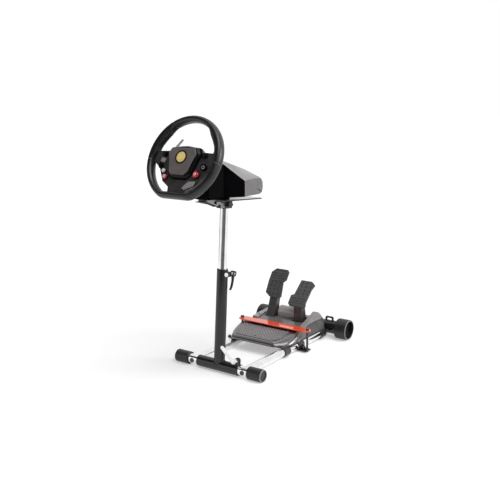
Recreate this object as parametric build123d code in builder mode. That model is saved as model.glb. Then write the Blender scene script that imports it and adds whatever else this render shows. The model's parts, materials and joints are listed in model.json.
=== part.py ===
import os
from math import cos, radians, sin, sqrt, tan

from build123d import *

os.makedirs("parts", exist_ok=True)

# overall layout of the stand, in mm
stand_depth = 553.0
front_width = 364.0
rear_width = 410.0
front_y = -179.65
tube_wall = 2.0
joint_gap = 0.4
cap_flat = 0.6

# front cross tube and its end caps
front_tube_od = 34.0
front_cap_od = 44.0
front_cap_length = 57.0
front_cap_plug = 8.0
front_cap_recess = 3.0
front_cap_rim = 4.0
front_z = front_cap_od / 2 - cap_flat

# rear cross tube and its end caps
rear_tube_od = 52.0
rear_cap_od = 78.0
rear_cap_length = 48.0
rear_cap_plug = 26.0
rear_cap_recess = 20.0
rear_cap_rim = 5.0
rear_y = front_y + stand_depth
rear_z = rear_cap_od / 2 - cap_flat

# floor rails
rail_od = 30.0
rail_cap_gap = 3.0
rail_x = front_width / 2 - front_cap_length - rail_cap_gap - rail_od / 2
rail_z = front_z
rail_end_inset = 12.0

# straps that sit on the rails under the pedal base
clip_thick = 3.0
clip_length = 36.0
clip_pad = 30.0
front_clip_reach = 227.0
rear_clip_inset = 70.0
bracket_reach = 338.0
front_clip_y = front_y + front_clip_reach
rear_clip_y = rear_y - rear_clip_inset
bracket_y = front_y + bracket_reach
lug_thick = 4.0
lug_floor_gap = 5.0
rod_reach = 39.0
rod_x = rail_x + rod_reach
rod_r = 4.0
nut_r = 7.5
nut_high = 6.5
rod_floor_gap = 1.5

# lean of the post, measured from upright towards the pedals
post_lean = 3.8
lean_c = cos(radians(post_lean))
lean_s = sin(radians(post_lean))
sleeve_length = 174.0
sleeve_od = 39.5
post_od = 38.0
post_wall = 2.5
post_top = 331.0
bush_high = 26.0
mast_od = 30.0
mast_low = 128.0
tilt_axis_s = 552.0
tilt_axis_q = -10.0
tilt_axis_drop = 14.0

# wheel plate and its bracket
plate_s = 572.5
plate_thick = 4.0
plate_width = 200.0
plate_front = 124.0
plate_rear = 80.0
cheek_thick = 3.5
bracket_front = 117.0
bracket_rear = 20.0
tilt_bolt_r = 5.0
pin_clear = 0.06

# steering wheel
wheel_reach = 168.0
wheel_height = 735.0
wheel_tilt = 25.0
rim_r = 140.0
rim_tube_r = 11.0
rim_tube_depth = 19.5
rim_back = 4.0
rim_flat = 118.5
rim_corner_r = 34.0

# pedals
pedal_overhang = 10.0
pedal_half_width = rail_x + pedal_overhang
pedal_reach = 213.0
pedal_front = front_y + pedal_reach
lip_back = 9.0
pedal_lip = pedal_front + lip_back
pedal_lip_z = 53.0
pedal_slope = 10.8
pedal_rear_inset = 31.0
pedal_rear = rear_y - pedal_rear_inset
pivot_inset = 131.0
pivot_y = rear_y - pivot_inset
pivot_z = 80.0
cheek_wide = 21.0
arm_to_cheek = 16.0
arm_width = 34.0
arm_clear = 5.0
pedal_x = pedal_half_width - cheek_wide - arm_to_cheek - arm_width / 2
pad_shift = 10.0
pad_x = pedal_x - pad_shift
arm_hub_r = 20.0
footrest_ahead = 22.0
cheek_ahead = 57.0
brake_behind = 2.0
brake_z = 158.0
throttle_ahead = 34.0
throttle_z = 148.0

front_mid = Vector(0, front_y, front_z)
lean_dir = (0, lean_s, lean_c)
across_dir = (0, lean_c, -lean_s)
post_plane = Plane(origin=front_mid, x_dir=(1, 0, 0), z_dir=lean_dir)
post_side = Plane(origin=front_mid, x_dir=across_dir, z_dir=(1, 0, 0))
toward_dir = (0, -lean_c, lean_s)
base_gap = 0.3
base_z = front_z + plate_front * lean_s + (plate_s + plate_thick) * lean_c + base_gap
base_plane = Plane(origin=(0, front_y, base_z), x_dir=(1, 0, 0), z_dir=(0, -1, 0))
wheel_plane = Plane(
    origin=(0, front_y - wheel_reach, wheel_height),
    x_dir=(1, 0, 0),
    z_dir=(0, -cos(radians(wheel_tilt)), sin(radians(wheel_tilt))),
)

# front cross tube
front_tube_length = front_width - 2 * front_cap_plug
with BuildPart() as front_tube:
    with BuildSketch(Plane.YZ.offset(-front_tube_length / 2)):
        with Locations((front_y, front_z)):
            Circle(front_tube_od / 2)
            Circle(front_tube_od / 2 - tube_wall, mode=Mode.SUBTRACT)
    extrude(amount=front_tube_length)
front_tube.part.label = "front_tube"
export_step(front_tube.part, "parts/front_tube.step")

# front end caps, each with a moulded flat where it stands on the floor
with BuildPart() as front_cap_right:
    with BuildSketch(Plane.YZ.offset(front_width / 2 - front_cap_length)):
        with Locations((front_y, front_z)):
            Circle(front_cap_od / 2)
    extrude(amount=front_cap_length)
    chamfer(front_cap_right.edges().filter_by(GeomType.CIRCLE), 1.2)
    with BuildSketch(Plane.YZ.offset(front_width / 2 - front_cap_length)):
        with Locations((front_y, front_z)):
            Circle(front_tube_od / 2)
    extrude(amount=front_cap_length - front_cap_plug, mode=Mode.SUBTRACT)
    with BuildSketch(Plane.YZ.offset(front_width / 2)):
        with Locations((front_y, front_z)):
            Circle(front_cap_od / 2 - front_cap_rim)
    extrude(amount=-front_cap_recess, mode=Mode.SUBTRACT)
    with Locations((front_width / 2 - front_cap_length / 2, front_y, -front_cap_od / 2)):
        Box(2 * front_cap_length, 2 * front_cap_od, front_cap_od, mode=Mode.SUBTRACT)
front_cap_right.part.label = "front_cap_right"
export_step(front_cap_right.part, "parts/front_cap_right.step")

with BuildPart() as front_cap_left:
    mirror(front_cap_right.part, about=Plane.YZ)
front_cap_left.part.label = "front_cap_left"
export_step(front_cap_left.part, "parts/front_cap_left.step")

# rear cross tube
rear_tube_length = rear_width - 2 * rear_cap_plug
with BuildPart() as rear_tube:
    with BuildSketch(Plane.YZ.offset(-rear_tube_length / 2)):
        with Locations((rear_y, rear_z)):
            Circle(rear_tube_od / 2)
            Circle(rear_tube_od / 2 - tube_wall, mode=Mode.SUBTRACT)
    extrude(amount=rear_tube_length)
rear_tube.part.label = "rear_tube"
export_step(rear_tube.part, "parts/rear_tube.step")

# rear end caps, open cups with a moulded flat
with BuildPart() as rear_cap_right:
    with BuildSketch(Plane.YZ.offset(rear_width / 2 - rear_cap_length)):
        with Locations((rear_y, rear_z)):
            Circle(rear_cap_od / 2)
    extrude(amount=rear_cap_length)
    chamfer(rear_cap_right.edges().filter_by(GeomType.CIRCLE), 1.6)
    with BuildSketch(Plane.YZ.offset(rear_width / 2 - rear_cap_length)):
        with Locations((rear_y, rear_z)):
            Circle(rear_tube_od / 2)
    extrude(amount=rear_cap_length - rear_cap_plug, mode=Mode.SUBTRACT)
    with BuildSketch(Plane.YZ.offset(rear_width / 2)):
        with Locations((rear_y, rear_z)):
            Circle(rear_cap_od / 2 - rear_cap_rim)
    extrude(amount=-rear_cap_recess, mode=Mode.SUBTRACT)
    with Locations((rear_width / 2 - rear_cap_length / 2, rear_y, -rear_cap_od / 2)):
        Box(2 * rear_cap_length, 2 * rear_cap_od, rear_cap_od, mode=Mode.SUBTRACT)
rear_cap_right.part.label = "rear_cap_right"
export_step(rear_cap_right.part, "parts/rear_cap_right.step")

with BuildPart() as rear_cap_left:
    mirror(rear_cap_right.part, about=Plane.YZ)
rear_cap_left.part.label = "rear_cap_left"
export_step(rear_cap_left.part, "parts/rear_cap_left.step")

# rails, coped to the two cross tubes
rail_plane = Plane(origin=(rail_x, front_y, rail_z), x_dir=(1, 0, 0), z_dir=(0, 1, 0))
with BuildPart() as rail_right:
    with BuildSketch(rail_plane):
        Circle(rail_od / 2)
        Circle(rail_od / 2 - tube_wall, mode=Mode.SUBTRACT)
    extrude(amount=stand_depth - rail_end_inset)
    with Locations(Location((rail_x, front_y, front_z), (0, 90, 0))):
        Cylinder(front_tube_od / 2, 3 * rail_od, mode=Mode.SUBTRACT)
    with Locations(Location((rail_x, rear_y, rear_z), (0, 90, 0))):
        Cylinder(rear_tube_od / 2, 3 * rail_od, mode=Mode.SUBTRACT)
rail_right.part.label = "rail_right"
export_step(rail_right.part, "parts/rail_right.step")

with BuildPart() as rail_left:
    mirror(rail_right.part, about=Plane.YZ)
rail_left.part.label = "rail_left"
export_step(rail_left.part, "parts/rail_left.step")

# half-round straps over the outside of each rail, with a pad under the pedal base
clip_or = rail_od / 2 + clip_thick
pad_top = rail_z + clip_or
with BuildPart() as rail_clips_right:
    for clip_y in (front_clip_y, rear_clip_y):
        clip_plane = Plane(
            origin=(rail_x, clip_y + clip_length, rail_z), x_dir=(1, 0, 0), z_dir=(0, -1, 0)
        )
        with BuildSketch(clip_plane):
            Circle(clip_or)
            Circle(rail_od / 2, mode=Mode.SUBTRACT)
            with Locations((-clip_or, 0)):
                Rectangle(2 * clip_or, 2 * clip_or, mode=Mode.SUBTRACT)
            with Locations((-clip_pad / 2, clip_or - clip_thick / 2)):
                Rectangle(clip_pad, clip_thick)
        extrude(amount=clip_length)
rail_clips_right.part.label = "rail_clips_right"
export_step(rail_clips_right.part, "parts/rail_clips_right.step")

with BuildPart() as rail_clips_left:
    mirror(rail_clips_right.part, about=Plane.YZ)
rail_clips_left.part.label = "rail_clips_left"
export_step(rail_clips_left.part, "parts/rail_clips_left.step")

# strap with an outward lug for the hold-down rod, braced by a drilled gusset
lug_end = 5.5
lug_reach = rod_x - rail_x + lug_end
lug_z = lug_floor_gap - rail_z
gusset_half = 2.0
with BuildPart() as clamp_bracket_right:
    bracket_plane = Plane(
        origin=(rail_x, bracket_y + clip_length / 2, rail_z), x_dir=(1, 0, 0), z_dir=(0, -1, 0)
    )
    with BuildSketch(bracket_plane):
        Circle(clip_or)
        with Locations((-clip_or, 0)):
            Rectangle(2 * clip_or, 2 * clip_or, mode=Mode.SUBTRACT)
        with Locations((-clip_pad / 2, clip_or - clip_thick / 2)):
            Rectangle(clip_pad, clip_thick)
        with Locations((lug_reach / 2, lug_z + lug_thick / 2)):
            Rectangle(lug_reach, lug_thick)
        Circle(rail_od / 2, mode=Mode.SUBTRACT)
    extrude(amount=clip_length)
    with BuildSketch(bracket_plane.offset(clip_length / 2 - gusset_half)):
        with BuildLine():
            Polyline(
                (clip_or - 3.0, 9.0),
                (lug_reach, lug_z + lug_thick),
                (clip_or - 6.0, lug_z + lug_thick),
                close=True,
            )
        make_face()
        with Locations((clip_or + 5.0, lug_z + lug_thick + 7.5)):
            Circle(3.5, mode=Mode.SUBTRACT)
        Circle(rail_od / 2, mode=Mode.SUBTRACT)
    extrude(amount=2 * gusset_half)
    with Locations((rod_x, bracket_y, lug_floor_gap)):
        Cylinder(rod_r, 4 * lug_thick, mode=Mode.SUBTRACT)
    with Locations((rod_x, bracket_y, lug_floor_gap + lug_thick + nut_high)):
        Cylinder(nut_r + 0.5, 2 * nut_high, mode=Mode.SUBTRACT)
clamp_bracket_right.part.label = "clamp_bracket_right"
export_step(clamp_bracket_right.part, "parts/clamp_bracket_right.step")

with BuildPart() as clamp_bracket_left:
    mirror(clamp_bracket_right.part, about=Plane.YZ)
clamp_bracket_left.part.label = "clamp_bracket_left"
export_step(clamp_bracket_left.part, "parts/clamp_bracket_left.step")

# red bar across the foot of the pedals, pulled down by a rod at each end
bar_width = 42.0
bar_thick = 4.0
bar_end = 11.5
bar_length = 2 * (rod_x + bar_end)
slope_t = tan(radians(pedal_slope))
bar_z = pedal_lip_z + (bracket_y + bar_width / 2 - pedal_lip) * slope_t + 0.5
with BuildPart() as hold_down_bar:
    with BuildSketch(Plane.XY.offset(bar_z)):
        with Locations((0, bracket_y)):
            SlotOverall(bar_length, bar_width)
        with Locations((-rod_x, bracket_y), (rod_x, bracket_y)):
            Circle(rod_r, mode=Mode.SUBTRACT)
    extrude(amount=bar_thick)
    chamfer(hold_down_bar.faces().sort_by(Axis.Z)[-1].outer_wire().edges(), 0.8)
hold_down_bar.part.label = "hold_down_bar"
export_step(hold_down_bar.part, "parts/hold_down_bar.step")

rod_top = bar_z + bar_thick + nut_high
with BuildPart() as hold_down_rods:
    with BuildSketch(Plane.XY.offset(rod_floor_gap)):
        with Locations((-rod_x, bracket_y), (rod_x, bracket_y)):
            Circle(rod_r)
    extrude(amount=rod_top - rod_floor_gap)
    with BuildSketch(Plane.XY.offset(lug_floor_gap + lug_thick)):
        with Locations((-rod_x, bracket_y), (rod_x, bracket_y)):
            RegularPolygon(nut_r, 6)
    extrude(amount=nut_high)
    with BuildSketch(Plane.XY.offset(bar_z + bar_thick)):
        with Locations((-rod_x, bracket_y), (rod_x, bracket_y)):
            RegularPolygon(nut_r, 6)
    extrude(amount=nut_high)
hold_down_rods.part.label = "hold_down_rods"
export_step(hold_down_rods.part, "parts/hold_down_rods.step")

# small black loops on the rear tube
loop_span = 34.0
loop_high = 15.0
loop_r = 3.0
loop_x = 118.0
with BuildPart() as rear_loops:
    for side in (-1, 1):
        loop_plane = Plane(
            origin=(side * loop_x, rear_y, rear_z + rear_tube_od / 2), x_dir=(1, 0, 0), z_dir=(0, -1, 0)
        )
        with BuildSketch(loop_plane.offset(-loop_r)):
            with Locations((0, loop_high / 2 - 2.0)):
                RectangleRounded(loop_span, loop_high + 4.0, 6.0)
            with Locations((0, loop_high / 2 - 5.0)):
                RectangleRounded(loop_span - 4 * loop_r, loop_high - 2.0, 4.0, mode=Mode.SUBTRACT)
        extrude(amount=2 * loop_r)
    with Locations(Location((0, rear_y, rear_z), (0, 90, 0))):
        Cylinder(rear_tube_od / 2, rear_width, mode=Mode.SUBTRACT)
rear_loops.part.label = "rear_loops"
export_step(rear_loops.part, "parts/rear_loops.step")

# post weldment: sleeve on the front tube and the outer tube that rises from it
sleeve_bore = front_tube_od / 2 + joint_gap
with BuildPart() as post_tee:
    with BuildSketch(Plane.YZ.offset(-sleeve_length / 2)):
        with Locations((front_y, front_z)):
            Circle(sleeve_od / 2)
    extrude(amount=sleeve_length)
    with BuildSketch(post_plane):
        Circle(post_od / 2)
    extrude(amount=post_top)
    with BuildSketch(post_plane):
        Circle(post_od / 2 - post_wall)
    extrude(amount=post_top, mode=Mode.SUBTRACT)
    with BuildSketch(Plane.YZ.offset(-sleeve_length / 2)):
        with Locations((front_y, front_z)):
            Circle(sleeve_bore)
    extrude(amount=sleeve_length, mode=Mode.SUBTRACT)
post_tee.part.label = "post_tee"
export_step(post_tee.part, "parts/post_tee.step")

# two clamp ears that stand on the sleeve, either side of its slit
ear_thick = 4.0
ear_half = 10.0
fold_x = 76.0
fold_s = 31.5
fold_ear_front = -4.5
fold_ear_rear = 4.0
skewer_r = 3.5
with BuildPart() as fold_ears:
    for ear_q in (fold_ear_front, fold_ear_rear):
        ear_plane = Plane(
            origin=post_plane.from_local_coords(Vector(0, ear_q, 0)), x_dir=(1, 0, 0), z_dir=toward_dir
        )
        with BuildSketch(ear_plane):
            with Locations((fold_x, fold_s)):
                Circle(ear_half)
            with Locations((fold_x, fold_s / 2)):
                Rectangle(2 * ear_half, fold_s)
            with Locations((fold_x, fold_s)):
                Circle(skewer_r, mode=Mode.SUBTRACT)
        extrude(amount=ear_thick)
    with BuildSketch(Plane.YZ.offset(-front_width / 2)):
        with Locations((front_y, front_z)):
            Circle(sleeve_od / 2)
    extrude(amount=front_width, mode=Mode.SUBTRACT)
fold_ears.part.label = "fold_ears"
export_step(fold_ears.part, "parts/fold_ears.step")

# bolt through the ears: a round nut behind, and an eye with a cross pin in front
fold_pivot_q = -17.0
fold_nut_r = 7.5
fold_nut_long = 9.0
fold_angle = 41.0
eye_r = 6.0
eye_thick = 6.0
lever_pin_r = 2.5
lever_half = 6.5
fork_gap = 0.5
fork_half = skewer_r + fork_gap
fold_c = cos(radians(fold_angle))
fold_s_part = sin(radians(fold_angle))
fold_pivot = post_plane.from_local_coords(Vector(fold_x, fold_pivot_q, fold_s))
fold_along = (-fold_c, fold_s_part * lean_s, fold_s_part * lean_c)
fold_pin_dir = (fold_s_part, fold_c * lean_s, fold_c * lean_c)
fold_bolt_plane = Plane(origin=fold_pivot, x_dir=(1, 0, 0), z_dir=across_dir)
fold_lever_plane = Plane(origin=fold_pivot, x_dir=fold_along, z_dir=fold_pin_dir)
with BuildPart() as fold_skewer:
    with BuildSketch(fold_bolt_plane):
        Circle(skewer_r)
    extrude(amount=fold_ear_rear - fold_pivot_q + fold_nut_long)
    with BuildSketch(fold_bolt_plane.offset(fold_ear_rear - fold_pivot_q)):
        Circle(fold_nut_r)
    extrude(amount=fold_nut_long)
    chamfer(fold_skewer.faces().sort_by(Axis.Y)[-1].edges(), 1.5)
    with BuildSketch(fold_lever_plane.offset(-eye_thick / 2)):
        Circle(eye_r)
    extrude(amount=eye_thick)
    with BuildSketch(fold_lever_plane.offset(-lever_half)):
        Circle(lever_pin_r)
    extrude(amount=2 * lever_half)
fold_skewer.part.label = "fold_skewer"
export_step(fold_skewer.part, "parts/fold_skewer.step")

# chrome cam lever, forked over the eye, lying across the front of the post foot
cam_r = 7.6
lever_long = 62.0
lever_back = 7.4
lever_face = 11.0
lever_tail = 4.0
lever_root = 3.0
lever_top_plane = Plane(origin=fold_pivot, x_dir=fold_along, z_dir=toward_dir)
with BuildPart() as fold_lever:
    with BuildSketch(fold_lever_plane.offset(-lever_half)):
        Circle(cam_r)
        with BuildLine():
            Polyline(
                (-lever_tail, lever_root),
                (cam_r, lever_root),
                (cam_r + 2.0, lever_back),
                (lever_long + lever_half, lever_back),
                (lever_long + lever_half, lever_face - 1.0),
                (cam_r, lever_face),
                (-lever_tail, lever_face),
                close=True,
            )
        make_face()
    extrude(amount=2 * lever_half)
    with BuildSketch(fold_lever_plane.offset(-fork_half)):
        Circle(eye_r + 2 * fork_gap)
        with Locations((0, lever_root - 1.5 * cam_r)):
            Rectangle(3 * cam_r, 3 * cam_r)
    extrude(amount=2 * fork_half, mode=Mode.SUBTRACT)
    with BuildSketch(fold_lever_plane.offset(-2 * lever_half)):
        Circle(lever_pin_r + pin_clear)
    extrude(amount=4 * lever_half, mode=Mode.SUBTRACT)
    with BuildSketch(lever_top_plane.offset(-2 * cam_r)):
        with Locations((lever_long / 2 - cam_r, 0)):
            Rectangle(lever_long + 2 * cam_r, 2 * lever_half)
        with Locations((lever_long, 0)):
            Circle(lever_half)
    extrude(amount=4 * cam_r, mode=Mode.INTERSECT)
fold_lever.part.label = "fold_lever"
export_step(fold_lever.part, "parts/fold_lever.step")

# plastic bush at the mouth of the outer tube
bush_bore = mast_od / 2 + joint_gap
bush_lip = 3.0
with BuildPart() as post_bush:
    with BuildSketch(post_plane.offset(post_top - bush_high)):
        Circle(post_od / 2 - post_wall)
        Circle(bush_bore, mode=Mode.SUBTRACT)
    extrude(amount=bush_high)
    with BuildSketch(post_plane.offset(post_top)):
        Circle(post_od / 2)
        Circle(bush_bore, mode=Mode.SUBTRACT)
    extrude(amount=bush_lip)
post_bush.part.label = "post_bush"
export_step(post_bush.part, "parts/post_bush.step")

# clamp ears beside the mouth of the outer tube
height_s = post_top - 13.0
height_x = post_od / 2 + 7.0
height_ear_front = -5.0
height_ear_rear = 7.0
with BuildPart() as height_ears:
    for ear_q in (height_ear_front, height_ear_rear):
        ear_plane = Plane(
            origin=post_plane.from_local_coords(Vector(0, ear_q, 0)), x_dir=(1, 0, 0), z_dir=toward_dir
        )
        with BuildSketch(ear_plane):
            with Locations((height_x, height_s)):
                Circle(ear_half - 1.0)
            with Locations((height_x / 2, height_s)):
                Rectangle(height_x, 2 * ear_half - 2.0)
            with Locations((height_x, height_s)):
                Circle(skewer_r, mode=Mode.SUBTRACT)
        extrude(amount=ear_thick)
    with BuildSketch(post_plane):
        Circle(post_od / 2)
    extrude(amount=2 * post_top, mode=Mode.SUBTRACT)
height_ears.part.label = "height_ears"
export_step(height_ears.part, "parts/height_ears.step")

# eye bolt through the ears, with a head in front, a collar behind and a cross pin for its lever
height_pivot_q = 26.0
height_head_r = 7.0
height_head_long = 4.0
height_collar_r = 6.0
height_collar_long = 6.0
height_cam_r = 9.5
height_cam_half = 7.0
height_bolt_front = height_ear_front - ear_thick - height_head_long
height_bolt_plane = Plane(
    origin=post_plane.from_local_coords(Vector(height_x, height_bolt_front, height_s)),
    x_dir=(1, 0, 0),
    z_dir=across_dir,
)
with BuildPart() as height_bolt:
    with BuildSketch(height_bolt_plane):
        Circle(skewer_r)
    extrude(amount=height_pivot_q - height_bolt_front)
    with BuildSketch(height_bolt_plane):
        Circle(height_head_r)
    extrude(amount=height_head_long)
    with BuildSketch(height_bolt_plane.offset(height_ear_rear - height_bolt_front)):
        Circle(height_collar_r)
    extrude(amount=height_collar_long)
    with BuildSketch(post_side.offset(height_x - eye_thick / 2)):
        with Locations((height_pivot_q, height_s)):
            Circle(eye_r)
    extrude(amount=eye_thick)
    with BuildSketch(post_side.offset(height_x - height_cam_half)):
        with Locations((height_pivot_q, height_s)):
            Circle(lever_pin_r)
    extrude(amount=2 * height_cam_half)
height_bolt.part.label = "height_bolt"
export_step(height_bolt.part, "parts/height_bolt.step")

# hanging lever of the height clamp: a cam forked over the eye and a thin kinked handle
handle_half = 3.0
handle_drop = 56.0
with BuildPart() as height_lever:
    with BuildSketch(post_side.offset(height_x - height_cam_half)):
        with Locations((height_pivot_q, height_s)):
            Circle(height_cam_r)
    extrude(amount=2 * height_cam_half)
    with BuildSketch(post_side.offset(height_x - handle_half)):
        with BuildLine():
            Polyline(
                (height_pivot_q - 7.0, height_s - 5.0),
                (height_pivot_q - 5.0, height_s - 0.4 * handle_drop),
                (height_pivot_q - 9.0, height_s - 0.72 * handle_drop),
                (height_pivot_q - 17.0, height_s - handle_drop + 2.0),
                (height_pivot_q - 12.5, height_s - handle_drop),
                (height_pivot_q - 3.0, height_s - 0.75 * handle_drop),
                (height_pivot_q + 2.0, height_s - 0.4 * handle_drop),
                (height_pivot_q + 5.0, height_s - 5.0),
                close=True,
            )
        make_face()
    extrude(amount=2 * handle_half)
    with BuildSketch(post_side.offset(height_x - fork_half)):
        with Locations((height_pivot_q, height_s)):
            Circle(eye_r + 2 * fork_gap)
        with Locations((height_pivot_q + fork_half - height_cam_r, height_s - fork_half + height_cam_r)):
            Rectangle(2 * height_cam_r, 2 * height_cam_r)
    extrude(amount=2 * fork_half, mode=Mode.SUBTRACT)
    with BuildSketch(post_side.offset(height_x - 2 * height_cam_half)):
        with Locations((height_pivot_q, height_s)):
            Circle(lever_pin_r + pin_clear)
    extrude(amount=4 * height_cam_half, mode=Mode.SUBTRACT)
height_lever.part.label = "height_lever"
export_step(height_lever.part, "parts/height_lever.step")

# chrome mast that slides in the outer tube
mast_top = tilt_axis_s - tilt_axis_drop
with BuildPart() as mast_tube:
    with BuildSketch(post_plane.offset(mast_low)):
        Circle(mast_od / 2)
        Circle(mast_od / 2 - tube_wall, mode=Mode.SUBTRACT)
    extrude(amount=mast_top - mast_low)
mast_tube.part.label = "mast_tube"
export_step(mast_tube.part, "parts/mast_tube.step")

# block on the mast top that carries the tilt bolt
cheek_gap = mast_od + 2.0
cheek_outer = cheek_gap / 2 + cheek_thick
head_half = cheek_gap / 2 - joint_gap
head_plug = 30.0
with BuildPart() as mast_head:
    with BuildSketch(post_side.offset(-head_half)):
        with Locations((tilt_axis_q, tilt_axis_s)):
            Circle(tilt_axis_drop)
        with BuildLine():
            Polyline(
                (tilt_axis_q - tilt_axis_drop, tilt_axis_s),
                (tilt_axis_q - tilt_axis_drop, mast_top),
                (mast_od / 2, mast_top),
                (mast_od / 2, mast_top + tilt_axis_drop / 2),
                (tilt_axis_q + tilt_axis_drop, tilt_axis_s),
                close=True,
            )
        make_face()
        with Locations((tilt_axis_q, tilt_axis_s)):
            Circle(tilt_bolt_r, mode=Mode.SUBTRACT)
    extrude(amount=2 * head_half)
    with BuildSketch(post_plane.offset(mast_top - head_plug)):
        Circle(mast_od / 2 - tube_wall)
    extrude(amount=head_plug)
mast_head.part.label = "mast_head"
export_step(mast_head.part, "parts/mast_head.step")

knob_gap = 2.0
knob_thick = 12.0
knob_end = 3.0
bolt_head = 5.0
bolt_head_r = 8.0
with BuildPart() as tilt_bolt:
    with BuildSketch(post_side.offset(-cheek_outer - joint_gap - bolt_head)):
        with Locations((tilt_axis_q, tilt_axis_s)):
            Circle(tilt_bolt_r)
    extrude(amount=2 * cheek_outer + joint_gap + bolt_head + knob_gap + knob_thick - knob_end - joint_gap)
    with BuildSketch(post_side.offset(-cheek_outer - joint_gap)):
        with Locations((tilt_axis_q, tilt_axis_s)):
            Circle(bolt_head_r)
    extrude(amount=-bolt_head)
tilt_bolt.part.label = "tilt_bolt"
export_step(tilt_bolt.part, "parts/tilt_bolt.step")

# star knob on the tilt bolt
knob_r = 12.5
knob_lobe_r = 4.2
knob_lobes = 5
with BuildPart() as tilt_knob:
    with BuildSketch(post_side.offset(cheek_outer + knob_gap)):
        with Locations((tilt_axis_q, tilt_axis_s)):
            Circle(knob_r - knob_lobe_r + 1.2)
            with PolarLocations(knob_r - knob_lobe_r, knob_lobes):
                Circle(knob_lobe_r)
    extrude(amount=knob_thick)
    with BuildSketch(post_side.offset(cheek_outer + knob_gap)):
        with Locations((tilt_axis_q, tilt_axis_s)):
            Circle(tilt_bolt_r + pin_clear)
    extrude(amount=knob_thick - knob_end, mode=Mode.SUBTRACT)
tilt_knob.part.label = "tilt_knob"
export_step(tilt_knob.part, "parts/tilt_knob.step")

# channel bracket that hangs under the wheel plate and straddles the mast head
web_thick = 3.5
slot_long = 36.0
slot_wide = 4.0
bracket_low = tilt_axis_s - 10.0
with BuildPart() as tilt_bracket:
    with BuildSketch(post_side.offset(-cheek_outer)):
        with BuildLine():
            Polyline(
                (-bracket_front, plate_s),
                (bracket_rear, plate_s),
                (bracket_rear - 4.0, tilt_axis_s + 4.0),
                (tilt_axis_q + tilt_axis_drop, bracket_low),
                (tilt_axis_q - 2 * tilt_axis_drop, bracket_low),
                (-bracket_front, plate_s - 2 * web_thick),
                close=True,
            )
        make_face()
    extrude(amount=2 * cheek_outer)
    with BuildSketch(post_side.offset(-cheek_gap / 2)):
        with Locations((0, plate_s / 2 - web_thick)):
            Rectangle(4 * bracket_front, plate_s)
    extrude(amount=cheek_gap, mode=Mode.SUBTRACT)
    with BuildSketch(post_side.offset(-2 * cheek_outer)):
        with Locations((tilt_axis_q, tilt_axis_s)):
            Circle(tilt_bolt_r + pin_clear)
        with Locations(Location((-bracket_front / 2, plate_s - 2.2 * web_thick), -5.0)):
            SlotOverall(slot_long, slot_wide)
    extrude(amount=4 * cheek_outer, mode=Mode.SUBTRACT)
tilt_bracket.part.label = "tilt_bracket"
export_step(tilt_bracket.part, "parts/tilt_bracket.step")

# plate that the wheel set is bolted to
plate_corner_r = 14.0
with BuildPart() as wheel_plate:
    with BuildSketch(post_plane.offset(plate_s)):
        with Locations((0, (plate_rear - plate_front) / 2)):
            RectangleRounded(plate_width, plate_front + plate_rear, plate_corner_r)
    extrude(amount=plate_thick)
wheel_plate.part.label = "wheel_plate"
export_step(wheel_plate.part, "parts/wheel_plate.step")

# black tongue that hangs under the front of the plate
tongue_half = 10.0
tongue_drop = 16.0
tongue_reach = 18.0
with BuildPart() as plate_tongue:
    with BuildSketch(post_side.offset(-tongue_half)):
        with BuildLine():
            Polyline(
                (-plate_front + 0.5, plate_s),
                (-bracket_front - 0.8, plate_s),
                (-bracket_front - 0.8, plate_s - tongue_drop / 2),
                (-bracket_front + tongue_reach / 2, plate_s - tongue_drop + 1.0),
                (-bracket_front + tongue_reach / 2 - 3.0, plate_s - tongue_drop),
                (-plate_front - tongue_reach, plate_s - tongue_drop / 2 - 1.5),
                (-plate_front - tongue_reach, plate_s - tongue_drop / 2 + 1.0),
                (-plate_front + 0.5, plate_s - tongue_drop / 2 + 1.0),
                close=True,
            )
        make_face()
    extrude(amount=2 * tongue_half)
plate_tongue.part.label = "plate_tongue"
export_step(plate_tongue.part, "parts/plate_tongue.step")

# stations of the wheel base, each with its half width, ridge height and crown height
base_front_at = 120.0
base_neck_at = 48.0
base_flare_at = -12.0
base_tail_at = -108.0
neck_half = 58.0
neck_flare = 2.0
flare_half = plate_width / 2
front_ridge = 103.0
neck_ridge = 107.0
flare_ridge = 51.0
tail_ridge = 54.0
front_crown = 119.0
neck_crown = 127.0
flare_crown = 113.0
tail_crown = 84.0
tail_round = 7.0
foot_half = 42.0
foot_front = plate_front - 20.0
foot_rear = 30.0
foot_high = 10.0
shaft_r = 11.0
shaft_bore_end = 78.0
with BuildPart() as base_housing:
    with BuildSketch(base_plane.offset(base_front_at)):
        with Locations((0, front_ridge / 2)):
            Rectangle(2 * neck_half, front_ridge)
    with BuildSketch(base_plane.offset(base_neck_at)):
        with Locations((0, neck_ridge / 2)):
            Rectangle(2 * neck_half + 2 * neck_flare, neck_ridge)
    with BuildSketch(base_plane.offset(base_flare_at)):
        with Locations((0, flare_ridge / 2)):
            Rectangle(2 * flare_half, flare_ridge)
    loft(ruled=True)
    with BuildSketch(post_plane.offset(plate_s + plate_thick)):
        with Locations((0, -(foot_front + foot_rear) / 2)):
            Rectangle(2 * foot_half, foot_front - foot_rear)
    extrude(amount=foot_high)
    with BuildSketch(wheel_plane):
        Circle(shaft_r + pin_clear)
    extrude(amount=-shaft_bore_end, mode=Mode.SUBTRACT)
base_housing.part.label = "base_housing"
export_step(base_housing.part, "parts/base_housing.step")

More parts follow.
